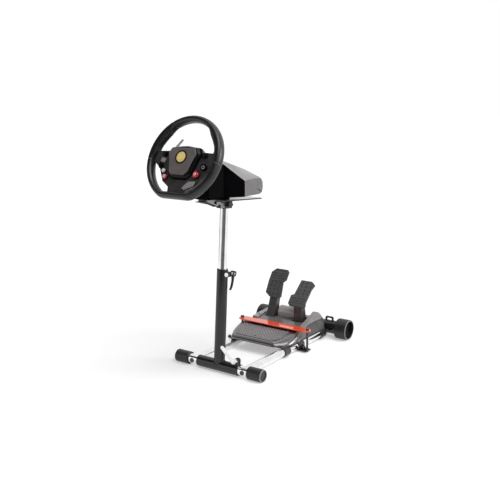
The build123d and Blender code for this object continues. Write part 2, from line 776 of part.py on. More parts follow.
# tail of the wheel base, drawn from the side with a round back
tail_bulge = 23.0
tail_corner_r = 24.0
tail_side = Plane(origin=(0, front_y, base_z), x_dir=(0, 1, 0), z_dir=(1, 0, 0))
with BuildPart() as base_tail:
    with BuildSketch(tail_side.offset(-flare_half)):
        with BuildLine():
            tail_back = ThreePointArc(
                (-base_tail_at, 0),
                (tail_bulge - base_tail_at, tail_ridge / 2),
                (-base_tail_at, tail_ridge),
            )
            Polyline(tail_back @ 1, (-base_flare_at, flare_ridge), (-base_flare_at, 0), tail_back @ 0)
        make_face()
    extrude(amount=2 * flare_half)
    tail_length = tail_bulge + base_flare_at - base_tail_at
    with BuildSketch(Plane.XY.offset(base_z)) as tail_plan:
        with Locations((0, front_y - base_flare_at + tail_length / 2)):
            Rectangle(2 * flare_half, tail_length)
        fillet(tail_plan.vertices().sort_by(Axis.Y)[-2:], tail_corner_r)
    extrude(amount=tail_ridge, mode=Mode.INTERSECT)
base_tail.part.label = "base_tail"
export_step(base_tail.part, "parts/base_tail.step")

# arched hood over the housing, drawn at four stations
hood_outer = 0.6
hood_inner = 0.3
tail_half = flare_half - tail_round
with BuildPart() as base_hood:
    with BuildSketch(base_plane.offset(base_front_at)):
        with BuildLine():
            Polyline(
                (-neck_half, front_ridge),
                (neck_half, front_ridge),
                (neck_half * hood_outer, front_crown - 7.0),
                (neck_half * hood_inner, front_crown - 2.0),
                (-neck_half * hood_inner, front_crown - 2.0),
                (-neck_half * hood_outer, front_crown - 7.0),
                close=True,
            )
        make_face()
    with BuildSketch(base_plane.offset(base_neck_at)):
        with BuildLine():
            Polyline(
                (-neck_half - neck_flare, neck_ridge),
                (neck_half + neck_flare, neck_ridge),
                (neck_half * hood_outer, neck_crown - 8.0),
                (neck_half * hood_inner, neck_crown - 2.0),
                (-neck_half * hood_inner, neck_crown - 2.0),
                (-neck_half * hood_outer, neck_crown - 8.0),
                close=True,
            )
        make_face()
    with BuildSketch(base_plane.offset(base_flare_at)):
        with BuildLine():
            Polyline(
                (-flare_half, flare_ridge),
                (flare_half, flare_ridge),
                (flare_half * hood_outer, flare_crown - 17.0),
                (flare_half * hood_inner, flare_crown - 6.0),
                (-flare_half * hood_inner, flare_crown - 6.0),
                (-flare_half * hood_outer, flare_crown - 17.0),
                close=True,
            )
        make_face()
    with BuildSketch(base_plane.offset(base_tail_at)):
        with BuildLine():
            Polyline(
                (-tail_half, tail_ridge),
                (tail_half, tail_ridge),
                (tail_half * hood_outer, tail_crown - 16.0),
                (tail_half * hood_inner, tail_crown - 6.0),
                (-tail_half * hood_inner, tail_crown - 6.0),
                (-tail_half * hood_outer, tail_crown - 16.0),
                close=True,
            )
        make_face()
    loft(ruled=True)
    add(base_housing.part, mode=Mode.SUBTRACT)
    add(base_tail.part, mode=Mode.SUBTRACT)
    with BuildSketch(wheel_plane):
        Circle(shaft_r + pin_clear)
    extrude(amount=-shaft_bore_end, mode=Mode.SUBTRACT)
base_hood.part.label = "base_hood"
export_step(base_hood.part, "parts/base_hood.step")

# steering column shroud on the front of the base, bored for the shaft
column_r = 34.0
column_front = 45.0
column_back = 150.0
with BuildPart() as column:
    with BuildSketch(wheel_plane.offset(-column_front)):
        Circle(column_r)
    extrude(amount=-(column_back - column_front))
    add(base_housing.part, mode=Mode.SUBTRACT)
    add(base_hood.part, mode=Mode.SUBTRACT)
    with BuildSketch(wheel_plane.offset(-column_front)):
        Circle(shaft_r + pin_clear)
    extrude(amount=-(shaft_bore_end - column_front), mode=Mode.SUBTRACT)
column.part.label = "column"
export_step(column.part, "parts/column.step")

# flat-bottomed rim, a deep oval section carried round the path
rim_path_r = rim_r - rim_tube_r
rim_flat_half = sqrt(rim_path_r**2 - rim_flat**2)
with BuildPart() as wheel_rim:
    with BuildLine(wheel_plane) as rim_line:
        rim_arc = ThreePointArc((-rim_flat_half, -rim_flat), (0, rim_path_r), (rim_flat_half, -rim_flat))
        rim_base = Line((rim_flat_half, -rim_flat), (-rim_flat_half, -rim_flat))
        fillet(rim_line.vertices(), rim_corner_r)
    rim_start = wheel_plane.from_local_coords(Vector(0, rim_path_r, 0))
    with BuildSketch(Plane(origin=rim_start, x_dir=wheel_plane.z_dir, z_dir=(1, 0, 0))):
        with Locations((-rim_back, 0)):
            Ellipse(rim_tube_depth, rim_tube_r)
    sweep(path=rim_line.wire())
wheel_rim.part.label = "wheel_rim"
export_step(wheel_rim.part, "parts/wheel_rim.step")

# three-spoke frame behind the hub
spoke_back = 20.0
spoke_front = -4.0
spoke_reach = rim_r - 16.0
spoke_top = 21.0
spoke_foot = rim_flat - 5.0
with BuildPart() as wheel_spokes:
    with BuildSketch(wheel_plane.offset(-spoke_back)):
        with BuildLine():
            Polyline(
                (-spoke_reach, spoke_top),
                (-62.0, spoke_top + 3.0),
                (-40.0, spoke_top + 17.0),
                (40.0, spoke_top + 17.0),
                (62.0, spoke_top + 3.0),
                (spoke_reach, spoke_top),
                (spoke_reach, -20.0),
                (104.0, -42.0),
                (72.0, -80.0),
                (38.0, -94.0),
                (32.0, -spoke_foot),
                (-32.0, -spoke_foot),
                (-36.0, -92.0),
                (-63.0, -76.0),
                (-88.0, -34.0),
                (-spoke_reach, -8.0),
                close=True,
            )
        make_face()
    extrude(amount=spoke_back + spoke_front)
    add(wheel_rim.part, mode=Mode.SUBTRACT)
wheel_spokes.part.label = "wheel_spokes"
export_step(wheel_spokes.part, "parts/wheel_spokes.step")

# hub pad with sloping sides
pad_high = 17.0
pad_half = 60.0
pad_shoulder = 15.0
pad_foot = 58.0
with BuildPart() as hub_pad:
    with BuildSketch(wheel_plane.offset(spoke_front)):
        with BuildLine():
            Polyline(
                (-pad_half, pad_shoulder),
                (-0.67 * pad_half, -0.86 * pad_foot),
                (-0.42 * pad_half, -pad_foot),
                (0.42 * pad_half, -pad_foot),
                (0.67 * pad_half, -0.86 * pad_foot),
                (pad_half, pad_shoulder),
                (0.83 * pad_half, 2.1 * pad_shoulder),
                (0, 2.5 * pad_shoulder),
                (-0.83 * pad_half, 2.1 * pad_shoulder),
                close=True,
            )
        make_face()
    extrude(amount=pad_high, taper=12.0)
hub_pad.part.label = "hub_pad"
export_step(hub_pad.part, "parts/hub_pad.step")

# round bezel and plain disc on the hub pad
badge_r = 22.0
badge_disc_r = 17.0
badge_high = 2.0
with BuildPart() as badge_ring:
    with BuildSketch(wheel_plane.offset(spoke_front + pad_high)):
        Circle(badge_r)
        Circle(badge_disc_r, mode=Mode.SUBTRACT)
    extrude(amount=badge_high)
badge_ring.part.label = "badge_ring"
export_step(badge_ring.part, "parts/badge_ring.step")

with BuildPart() as badge_disc:
    with BuildSketch(wheel_plane.offset(spoke_front + pad_high)):
        Circle(badge_disc_r)
    extrude(amount=badge_high * 0.6)
badge_disc.part.label = "badge_disc"
export_step(badge_disc.part, "parts/badge_disc.step")

# rounded shell behind the spokes and the shaft that turns in the column
hub_back_wide = 112.0
hub_back_tall = 96.0
hub_back_rise = 6.0
hub_back_r = 34.0
hub_back_end = 40.0
shaft_tail = 26.0
with BuildPart() as hub_back:
    with BuildSketch(wheel_plane.offset(-spoke_back)):
        with Locations((0, hub_back_rise)):
            RectangleRounded(hub_back_wide, hub_back_tall, hub_back_r)
    extrude(amount=-(hub_back_end - spoke_back), taper=8.0)
hub_back.part.label = "hub_back"
export_step(hub_back.part, "parts/hub_back.step")

with BuildPart() as steering_shaft:
    with BuildSketch(wheel_plane.offset(-hub_back_end)):
        Circle(shaft_r)
    extrude(amount=-(column_front - hub_back_end + shaft_tail))
steering_shaft.part.label = "steering_shaft"
export_step(steering_shaft.part, "parts/steering_shaft.step")

# shift paddles: a block on the side of the shell carries two thin swept blades
paddle_z = 45.0
paddle_thick = 3.0
paddle_root = 34.0
paddle_in = hub_back_wide / 2 - 2.0
paddle_out = paddle_in + 20.0
with BuildPart() as paddle_left:
    with BuildSketch(wheel_plane.offset(-paddle_root)):
        with BuildLine():
            Polyline(
                (-paddle_in, 28.0),
                (-paddle_out + 4.0, 24.0),
                (-paddle_out, -8.0),
                (-paddle_in, -14.0),
                close=True,
            )
        make_face()
    extrude(amount=-(paddle_z + paddle_thick - paddle_root))
    with BuildSketch(wheel_plane.offset(-paddle_z)):
        with BuildLine():
            Polyline(
                (-paddle_in, 10.0),
                (-paddle_out, 14.0),
                (-80.0, 40.0),
                (-85.5, 54.0),
                (-67.0, 79.0),
                (-60.0, 77.0),
                (-76.0, 53.0),
                (-66.0, 34.0),
                (-paddle_in, 28.0),
                close=True,
            )
        make_face()
        with BuildLine():
            Polyline(
                (-paddle_in, 0),
                (-paddle_in, -14.0),
                (-70.0, -30.0),
                (-80.0, -56.0),
                (-57.0, -75.0),
                (-63.0, -80.0),
                (-88.0, -65.0),
                (-92.0, -58.0),
                (-84.0, -30.0),
                (-paddle_out, 0),
                close=True,
            )
        make_face()
    extrude(amount=-paddle_thick)
    add(hub_back.part, mode=Mode.SUBTRACT)
paddle_left.part.label = "paddle_left"
export_step(paddle_left.part, "parts/paddle_left.step")

with BuildPart() as paddle_right:
    mirror(paddle_left.part, about=Plane.YZ)
paddle_right.part.label = "paddle_right"
export_step(paddle_right.part, "parts/paddle_right.step")

# controls on the spoke frame
control_high = 9.0
with BuildPart() as rocker_switches:
    with BuildSketch(wheel_plane.offset(spoke_front)):
        with Locations(Location((-77.5, 12.0), -12.0)):
            RectangleRounded(20.0, 15.0, 3.0)
        with Locations(Location((77.5, 12.0), 12.0)):
            RectangleRounded(20.0, 15.0, 3.0)
    extrude(amount=control_high)
rocker_switches.part.label = "rocker_switches"
export_step(rocker_switches.part, "parts/rocker_switches.step")

with BuildPart() as round_buttons:
    with BuildSketch(wheel_plane.offset(spoke_front)):
        with Locations((-83.5, -26.0)):
            Circle(7.5)
        with Locations((85.5, -25.0)):
            Circle(11.0)
    extrude(amount=control_high)
round_buttons.part.label = "round_buttons"
export_step(round_buttons.part, "parts/round_buttons.step")

with BuildPart() as red_controls:
    with BuildSketch(wheel_plane.offset(spoke_front)):
        with Locations((-54.5, -62.0)):
            Circle(8.0)
        with Locations((63.5, -49.0)):
            Circle(11.0)
    extrude(amount=control_high + 1.0)
red_controls.part.label = "red_controls"
export_step(red_controls.part, "parts/red_controls.step")

with BuildPart() as silver_button:
    with BuildSketch(wheel_plane.offset(spoke_front)):
        with Locations((-66.0, -43.0)):
            Circle(6.5)
    extrude(amount=control_high)
silver_button.part.label = "silver_button"
export_step(silver_button.part, "parts/silver_button.step")

# pedal base: a wedge with rounded front corners, slotted for the two arms
footrest_end = pivot_y - footrest_ahead
footrest_top = pedal_lip_z + (footrest_end - pedal_lip) * slope_t
slot_ahead = 6.0
slot_behind = 28.0
slot_under = 6.0
slot_front = pivot_y - arm_hub_r - slot_ahead
slot_rear = pivot_y + arm_hub_r + slot_behind
slot_floor = pivot_z - arm_hub_r - slot_under
front_corner_left = 22.0
front_corner_right = 62.0
rear_corner_r = 8.0
rear_slope = 26.0
with BuildPart() as pedal_base:
    with BuildSketch(Plane.YZ.offset(-pedal_half_width)):
        with BuildLine():
            Polyline(
                (pedal_front, pad_top),
                (pedal_lip, pedal_lip_z),
                (footrest_end, footrest_top),
                (pedal_rear - rear_slope, footrest_top),
                (pedal_rear, footrest_top - rear_slope),
                (pedal_rear, pad_top),
                close=True,
            )
        make_face()
    extrude(amount=2 * pedal_half_width)
    fillet(pedal_base.edges().filter_by(Axis.Z).sort_by(Axis.Y)[-2:], rear_corner_r)
    with BuildSketch(Plane.XY.offset(slot_floor)):
        for side in (-1, 1):
            with Locations((side * pedal_x, (slot_front + slot_rear) / 2)):
                Rectangle(arm_width + 2 * arm_clear, slot_rear - slot_front)
    extrude(amount=2 * footrest_top, mode=Mode.SUBTRACT)
    with BuildSketch(Plane.XY) as pedal_plan:
        with Locations((0, (pedal_front + pedal_rear) / 2)):
            Rectangle(2 * pedal_half_width, pedal_rear - pedal_front)
        fillet(pedal_plan.vertices().sort_by(Axis.Y)[:2].sort_by(Axis.X)[0], front_corner_left)
        fillet(pedal_plan.vertices().sort_by(Axis.Y)[:3].sort_by(Axis.X)[-1], front_corner_right)
    extrude(amount=2 * footrest_top, mode=Mode.INTERSECT)
pedal_base.part.label = "pedal_base"
export_step(pedal_base.part, "parts/pedal_base.step")

# side cheeks of the pedal base
cheek_run = 102.0
cheek_rise = 7.0
cheek_x = pedal_half_width - cheek_wide
cheek_start = pivot_y - cheek_ahead
cheek_peak_y = cheek_start + cheek_run
cheek_foot = pedal_lip_z + cheek_rise
left_step = 8.0
right_step = 1.0
left_peak_z = 97.0
right_peak_z = 117.0
left_tail_z = pivot_z + 4.0
right_tail_z = pivot_z - 4.0
left_cheek = (-1, left_step, left_peak_z, left_tail_z)
right_cheek = (1, right_step, right_peak_z, right_tail_z)
with BuildPart() as pedal_cheeks:
    for side, cheek_step, cheek_peak_z, cheek_tail_z in (left_cheek, right_cheek):
        with BuildSketch(Plane.YZ.offset(side * (cheek_x + pedal_half_width) / 2)):
            with BuildLine():
                Polyline(
                    (cheek_start, cheek_foot),
                    (cheek_start, pedal_lip_z + (cheek_start - pedal_lip) * slope_t + cheek_step),
                    (cheek_peak_y - 8.0, cheek_peak_z),
                    (cheek_peak_y + 4.0, cheek_peak_z - 2.0),
                    (pedal_rear - 10.0, cheek_tail_z),
                    (pedal_rear - 10.0, cheek_foot),
                    close=True,
                )
            make_face()
        extrude(amount=(pedal_half_width - cheek_x) / 2, both=True)
    add(pedal_base.part, mode=Mode.SUBTRACT)
pedal_cheeks.part.label = "pedal_cheeks"
export_step(pedal_cheeks.part, "parts/pedal_cheeks.step")

# round cover between the pedal arms
barrel_r = 24.0
barrel_back = 28.0
barrel_rise = 20.0
barrel_y = pivot_y + barrel_back
barrel_z = pivot_z + barrel_rise
barrel_half = pedal_x - arm_width / 2 - arm_clear
with BuildPart() as pedal_barrel:
    with BuildSketch(Plane.YZ.offset(-barrel_half)):
        with Locations((barrel_y, barrel_z)):
            Circle(barrel_r)
        with Locations((barrel_y, barrel_z - barrel_r / 2)):
            Rectangle(2 * barrel_r, barrel_r)
    extrude(amount=2 * barrel_half)
    add(pedal_base.part, mode=Mode.SUBTRACT)
pedal_barrel.part.label = "pedal_barrel"
export_step(pedal_barrel.part, "parts/pedal_barrel.step")

# pins that the arms turn on
pin_r = 5.0
with BuildPart() as pedal_pins:
    for side in (-1, 1):
        with BuildSketch(Plane.YZ.offset(side * pedal_x - arm_width / 2 - arm_clear)):
            with Locations((pivot_y, pivot_z)):
                Circle(pin_r)
        extrude(amount=arm_width + 2 * arm_clear)
pedal_pins.part.label = "pedal_pins"
export_step(pedal_pins.part, "parts/pedal_pins.step")

# tread panel on the footrest
tread_thick = 1.6
tread_front = 8.0
tread_rear = 94.0
tread_left = pedal_half_width - 9.0
tread_right = pedal_half_width - 33.0
tread_cut = 26.0
tread_plane = Plane(
    origin=(0, pedal_lip, pedal_lip_z),
    x_dir=(1, 0, 0),
    z_dir=(0, -sin(radians(pedal_slope)), cos(radians(pedal_slope))),
)
with BuildPart() as pedal_tread:
    with BuildSketch(tread_plane):
        with BuildLine():
            Polyline(
                (-tread_left, tread_front),
                (tread_right - tread_cut, tread_front),
                (tread_right, tread_front + tread_cut),
                (tread_right, tread_rear),
                (-tread_left, tread_rear),
                close=True,
            )
        make_face()
    extrude(amount=tread_thick)
pedal_tread.part.label = "pedal_tread"
export_step(pedal_tread.part, "parts/pedal_tread.step")

# brake pedal: a cut-cornered pad with holes below and a bent arm behind it
pad_thick = 6.0
hole_r = 2.6
hole_deep = 4.5
hole_across = 13.0
hole_up = 13.0
brake_lean = 29.0
brake_tall = 115.0
brake_plane = Plane(
    origin=(-pad_x, pivot_y + brake_behind, brake_z),
    x_dir=(1, 0, 0),
    z_dir=(0, -cos(radians(brake_lean)), sin(radians(brake_lean))),
)
with BuildPart() as brake_pad:
    with BuildSketch(brake_plane):
        with BuildLine():
            Polyline(
                (-27.0, 0),
                (13.0, 0),
                (25.0, 6.0),
                (20.0, 46.0),
                (17.0, 64.0),
                (28.0, 74.0),
                (30.5, 106.0),
                (23.0, brake_tall),
                (-28.0, brake_tall),
                (-46.0, 99.0),
                (-49.0, 62.0),
                (-48.0, 14.0),
                close=True,
            )
        make_face()
    extrude(amount=-pad_thick)
    with BuildSketch(brake_plane):
        with Locations((-14.0, 38.0)):
            with GridLocations(hole_across + 5.0, hole_up + 2.0, 3, 4):
                Circle(hole_r)
    extrude(amount=-hole_deep, mode=Mode.SUBTRACT)
brake_pad.part.label = "brake_pad"
export_step(brake_pad.part, "parts/brake_pad.step")

arm_back = 12.0
brake_arm_deep = 26.0
brake_arm_drop = 6.0
brake_back = brake_plane.offset(-pad_thick)
brake_arm_top = 0.68 * brake_tall
brake_low = brake_back.from_local_coords(Vector(0, 0, 0))
brake_high = brake_back.from_local_coords(Vector(0, brake_arm_top, 0))
brake_high_back = brake_back.from_local_coords(Vector(0, brake_arm_top, -arm_back))
brake_low_back = brake_back.from_local_coords(Vector(0, -brake_arm_drop, -brake_arm_deep))
with BuildPart() as brake_arm:
    with BuildSketch(Plane.YZ.offset(-pedal_x - arm_width / 2)):
        with Locations((pivot_y, pivot_z)):
            Circle(arm_hub_r)
    extrude(amount=arm_width)
    with BuildSketch(Plane.YZ.offset(-pedal_x - arm_width / 2)):
        with BuildLine():
            Polyline(
                (pivot_y - arm_hub_r, pivot_z),
                (brake_low.Y, brake_low.Z),
                (brake_high.Y, brake_high.Z),
                (brake_high_back.Y, brake_high_back.Z),
                (brake_low_back.Y, brake_low_back.Z),
                (pivot_y + arm_hub_r, pivot_z),
                close=True,
            )
        make_face()
    extrude(amount=arm_width)
    with BuildSketch(Plane.YZ.offset(-pedal_x - arm_width)):
        with Locations((pivot_y, pivot_z)):
            Circle(pin_r + pin_clear)
    extrude(amount=2 * arm_width, mode=Mode.SUBTRACT)
brake_arm.part.label = "brake_arm"
export_step(brake_arm.part, "parts/brake_arm.step")

# throttle pedal: a taller lean, holes above and a wide foot below
throttle_lean = 44.0
throttle_tall = 115.0
throttle_plane = Plane(
    origin=(pad_x, pivot_y - throttle_ahead, throttle_z),
    x_dir=(1, 0, 0),
    z_dir=(0, -cos(radians(throttle_lean)), sin(radians(throttle_lean))),
)
with BuildPart() as throttle_pad:
    with BuildSketch(throttle_plane):
        with BuildLine():
            Polyline(
                (-18.0, 0),
                (46.0, 0),
                (48.5, 9.0),
                (44.0, 20.0),
                (44.5, 79.0),
                (51.0, 102.0),
                (34.0, throttle_tall),
                (-13.5, throttle_tall),
                (-18.0, 51.0),
                (-30.0, 44.0),
                (-28.0, 8.0),
                close=True,
            )
        make_face()
    extrude(amount=-pad_thick)
    with BuildSketch(throttle_plane):
        with Locations((18.0, 80.0)):
            with GridLocations(hole_across + 7.0, hole_up + 3.0, 3, 4):
                Circle(hole_r)
    extrude(amount=-hole_deep, mode=Mode.SUBTRACT)
throttle_pad.part.label = "throttle_pad"
export_step(throttle_pad.part, "parts/throttle_pad.step")

throttle_back = throttle_plane.offset(-pad_thick)
throttle_arm_top = 0.72 * throttle_tall
throttle_arm_low = 12.0
throttle_arm_deep = 34.0
throttle_arm_rise = 20.0
throttle_low = throttle_back.from_local_coords(Vector(0, throttle_arm_low, 0))
throttle_high = throttle_back.from_local_coords(Vector(0, throttle_arm_top, 0))
throttle_high_back = throttle_back.from_local_coords(Vector(0, throttle_arm_top, -arm_back))
throttle_low_back = throttle_back.from_local_coords(Vector(0, throttle_arm_rise, -throttle_arm_deep))
with BuildPart() as throttle_arm:
    with BuildSketch(Plane.YZ.offset(pedal_x - arm_width / 2)):
        with Locations((pivot_y, pivot_z)):
            Circle(arm_hub_r)
    extrude(amount=arm_width)
    with BuildSketch(Plane.YZ.offset(pedal_x - arm_width / 2)):
        with BuildLine():
            Polyline(
                (pivot_y - arm_hub_r, pivot_z),
                (throttle_low.Y, throttle_low.Z),
                (throttle_high.Y, throttle_high.Z),
                (throttle_high_back.Y, throttle_high_back.Z),
                (throttle_low_back.Y, throttle_low_back.Z),
                (pivot_y + arm_hub_r, pivot_z),
                close=True,
            )
        make_face()
    extrude(amount=arm_width)
    with BuildSketch(Plane.YZ.offset(pedal_x - arm_width)):
        with Locations((pivot_y, pivot_z)):
            Circle(pin_r + pin_clear)
    extrude(amount=2 * arm_width, mode=Mode.SUBTRACT)
throttle_arm.part.label = "throttle_arm"
export_step(throttle_arm.part, "parts/throttle_arm.step")
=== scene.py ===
import json
from math import atan2, cos, pi, radians, sin, sqrt

import bmesh
import bpy
import numpy as np
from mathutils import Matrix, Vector
from mathutils.bvhtree import BVHTree

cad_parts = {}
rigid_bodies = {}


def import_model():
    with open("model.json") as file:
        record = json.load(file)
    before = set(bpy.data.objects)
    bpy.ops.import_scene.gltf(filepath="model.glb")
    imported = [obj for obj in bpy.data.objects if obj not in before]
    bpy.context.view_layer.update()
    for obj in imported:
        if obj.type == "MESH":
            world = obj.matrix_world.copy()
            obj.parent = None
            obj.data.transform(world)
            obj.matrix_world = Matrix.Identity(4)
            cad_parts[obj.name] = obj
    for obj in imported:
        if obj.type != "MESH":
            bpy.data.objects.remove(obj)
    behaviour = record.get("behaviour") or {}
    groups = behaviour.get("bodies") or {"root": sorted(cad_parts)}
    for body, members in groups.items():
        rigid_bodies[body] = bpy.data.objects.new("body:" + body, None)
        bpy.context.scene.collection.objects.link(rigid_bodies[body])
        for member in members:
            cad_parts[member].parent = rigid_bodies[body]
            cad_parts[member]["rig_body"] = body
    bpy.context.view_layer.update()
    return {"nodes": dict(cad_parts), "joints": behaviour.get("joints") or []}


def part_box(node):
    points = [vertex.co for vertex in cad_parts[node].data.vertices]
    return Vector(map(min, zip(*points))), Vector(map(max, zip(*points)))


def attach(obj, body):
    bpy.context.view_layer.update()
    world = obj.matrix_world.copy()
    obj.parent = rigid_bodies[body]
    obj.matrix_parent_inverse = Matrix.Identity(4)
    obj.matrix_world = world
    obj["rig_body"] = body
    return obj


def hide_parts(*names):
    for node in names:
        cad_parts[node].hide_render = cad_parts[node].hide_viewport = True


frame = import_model()
nodes = frame["nodes"]
joints = {j["name"]: j for j in frame["joints"]}
scene = bpy.context.scene
mm = 0.001


# places on the part

class Spot:
    # an origin in metres with three unit directions; at(a, b, c) goes a mm right, b mm up and c mm out
    def __init__(self, origin, out, right=(1, 0, 0)):
        self.origin = np.array(origin, float)
        self.out = np.array(out, float) / np.linalg.norm(out)
        side = np.array(right, float) - np.dot(right, self.out) * self.out
        self.right = side / np.linalg.norm(side)
        self.up = np.cross(self.out, self.right)

    def at(self, a, b, c):
        a, b, c = (v[..., None] for v in np.broadcast_arrays(np.asarray(a, float), b, c))
        return self.origin + mm * (a * self.right + b * self.up + c * self.out)

    def moved(self, a, b, c=0.0, turn=0.0):
        t = radians(turn)
        return Spot(self.at(a, b, c), self.out, cos(t) * self.right + sin(t) * self.up)

    def facing(self, a, b, c, out, right):
        # a new spot at (a, b, c) whose out and right are given along this spot's own directions
        axes = np.array([self.right, self.up, self.out])
        return Spot(self.at(a, b, c), np.array(out, float) @ axes, np.array(right, float) @ axes)


def middle(node):
    low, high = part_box(node)
    return np.array((low + high) / 2) / mm


frontY = middle("front_tube")[1]  # everything lengthwise is told from the front cross tube
worldSpot = Spot((0, 0, 0), (0, 0, 1))
# these two also have x to the right; the post's up is towards the pedals and its out along it,
# the wheel's up lies in its own plane and its out is towards the driver
postSpot = Spot(joints["post_fold"]["pos_m"], joints["mast_height"]["axis"])
wheelSpot = Spot(joints["steering"]["pos_m"], joints["steering"]["axis"])
print("frame: front tube at y", round(frontY, 2), "mm,", len(nodes), "nodes")


# surfaces

def gridFaces(rows, cols, wrapRows, wrapCols):
    # the four corners of each cell, counted row by row; a wrapped side joins its last line to its first
    i, j = np.meshgrid(np.arange(rows - (not wrapRows)), np.arange(cols - (not wrapCols)), indexing="ij")
    here, ahead, after = i * cols, (i + 1) % rows * cols, (j + 1) % cols
    return np.stack([here + j, here + after, ahead + after, ahead + j], -1).reshape(-1, 4)


class Shell:
    # gathers grids of points, rows along a piece and columns round it, into one closed mesh
    def __init__(self):
        self.points, self.faces, self.count = [], [], 0

    def add(self, pts, wrapRows=False, lids=(True, True)):
        rows, cols = pts.shape[:2]
        self.faces += (gridFaces(rows, cols, wrapRows, True) + self.count).tolist()
        ring = np.arange(cols) + self.count
        if lids[0] and not wrapRows:
            self.faces.append(ring.tolist())
        if lids[1] and not wrapRows:
            self.faces.append((ring + (rows - 1) * cols).tolist())
        self.points.append(pts.reshape(-1, 3))
        self.count += rows * cols
        return self

    def piece(self, name, body, slot, crease=35, replaces=(), finish=None):
        mesh = bpy.data.meshes.new(name)
        mesh.from_pydata(np.concatenate(self.points), [], self.faces)
        tidyMesh(mesh, crease)
        return dress(placed(name, mesh), body, slot, replaces, finish=finish)


meshing = dict(weld=0.002, level=0.6, bevelSteps=3, bevelFrom=28.0)  # mm, degrees, segments, degrees


def tidyMesh(mesh, crease, flatten=False):
    work = bmesh.new()
    work.from_mesh(mesh)
    bmesh.ops.remove_doubles(work, verts=work.verts, dist=meshing["weld"] * mm)
    if flatten:  # flat facets of one face become one polygon, so that its edges can be rounded
        level = radians(meshing["level"])
        bmesh.ops.dissolve_limit(work, angle_limit=level, verts=work.verts, edges=work.edges)
    else:
        bmesh.ops.recalc_face_normals(work, faces=work.faces)
    work.to_mesh(mesh)
    work.free()
    mesh.polygons.foreach_set("use_smooth", np.ones(len(mesh.polygons), bool))
    mesh.set_sharp_from_angle(angle=radians(crease))


def cutAhead(mesh, y, crease):
    # what lies ahead of y is taken off and the cut is closed
    work = bmesh.new()
    work.from_mesh(mesh)
    everything = work.verts[:] + work.edges[:] + work.faces[:]
    bmesh.ops.bisect_plane(work, geom=everything, plane_co=(0, y, 0), plane_no=(0, -1, 0), clear_outer=True)
    bmesh.ops.holes_fill(work, edges=work.edges, sides=0)
    bmesh.ops.recalc_face_normals(work, faces=work.faces)
    work.to_mesh(mesh)
    work.free()
    mesh.set_sharp_from_angle(angle=radians(crease))


def placed(name, data):
    obj = bpy.data.objects.new(name, data)
    scene.collection.objects.link(obj)
    return obj


def dress(obj, body, slot, replaces=(), bevel=0.0, finish=None):
    obj.data.materials.clear()
    obj.data.materials.append(finishes[finish or slot])
    if bevel:
        edge = obj.modifiers.new("roundedEdges", "BEVEL")
        edge.width, edge.segments = bevel * mm, meshing["bevelSteps"]
        edge.angle_limit = radians(meshing["bevelFrom"])
        edge.harden_normals = True
    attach(obj, body)
    if replaces:
        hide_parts(*replaces)
    return obj


def softened(node, slot, bevel, crease=30, finish=None, reshape=None, behind=None):
    # a merged copy of the node's own surface with its sharp edges rounded; it stands for the node
    source = nodes[node].data
    corners = np.empty(len(source.loops), np.int32)
    source.loops.foreach_get("vertex_index", corners)
    mesh = bpy.data.meshes.new(node + "_soft")
    points = reshape(pointsOf(node)) if reshape else pointsOf(node)
    mesh.from_pydata(points, [], corners.reshape(-1, 3).tolist())
    tidyMesh(mesh, crease, flatten=True)
    if behind is not None:
        cutAhead(mesh, behind * mm, crease)
    return dress(placed(node + "_soft", mesh), nodes[node]["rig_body"], slot, [node], bevel, finish)


def roundCorners(points, reach, steps=5, most=0.48):
    # each inner corner of a profile gives way to a parabola that starts and ends reach mm from it, or at most
    # that share of its side
    p = np.array(points, float)
    back, ahead = p[:-2] - p[1:-1], p[2:] - p[1:-1]
    a, b = (p[1:-1] + way * np.minimum(reach / np.linalg.norm(way, axis=1), most)[:, None]
            for way in (back, ahead))
    t = np.linspace(0, 1, steps)[None, :, None]
    curve = (1 - t) ** 2 * a[:, None] + 2 * t * (1 - t) * p[1:-1, None] + t ** 2 * b[:, None]
    return np.vstack([p[:1], curve.reshape(-1, 2), p[-1:]])


def quarter(radius, steps):
    # a quarter round as pairs: how far it has come in, radius * (1 - cos), and risen, radius * sin
    return [(radius * (1 - cos(b)), radius * sin(b)) for b in np.linspace(0, pi / 2, steps)]


def circle(steps):
    # even steps of angle once round
    return np.linspace(0, 2 * pi, steps, endpoint=False)


def turned(spot, profile, sides=48):
    # radius and height pairs carried once round the spot's out direction
    r, h = np.array(profile, float).T
    t = circle(sides)
    return spot.at(np.outer(r, np.cos(t)), np.outer(r, np.sin(t)), np.repeat(h[:, None], sides, 1))


def sidesOf(corners):
    # each edge of a convex outline about the origin: the way it faces, in radians, and how far off it is
    p = np.array(corners, float)
    edge = np.roll(p, -1, axis=0) - p
    normal = np.stack([edge[:, 1], -edge[:, 0]], 1) / np.linalg.norm(edge, axis=1)[:, None]
    away = (normal * p).sum(1)
    normal *= np.sign(away)[:, None]
    return np.arctan2(normal[:, 1], normal[:, 0]), np.abs(away)


def softOutline(corners, power=16, turns=120):
    # a polygon with soft corners, from the facing and distance of its edges:
    # radius = (sum of (cos(angle - facing) / distance) ** power) ** (-1 / power)
    facing, distance = sidesOf(corners)
    t = circle(turns)
    reach = np.maximum(np.cos(t[:, None] - facing) / distance, 0)
    return t, (reach ** power).sum(1) ** (-1 / power)


def pillow(spot, outline, profile):
    # rows of (inset, share, height): the outline shrunk by inset mm, then by share, at that height
    t, r = outline
    inset, share, height = np.array(profile, float).T
    ring = np.maximum(r[None] - inset[:, None], 0) * share[:, None]
    return spot.at(ring * np.cos(t), ring * np.sin(t), np.repeat(height[:, None], len(t), 1))


def box(half, tall):
    return [(-half, -tall), (half, -tall), (half, tall), (-half, tall)]


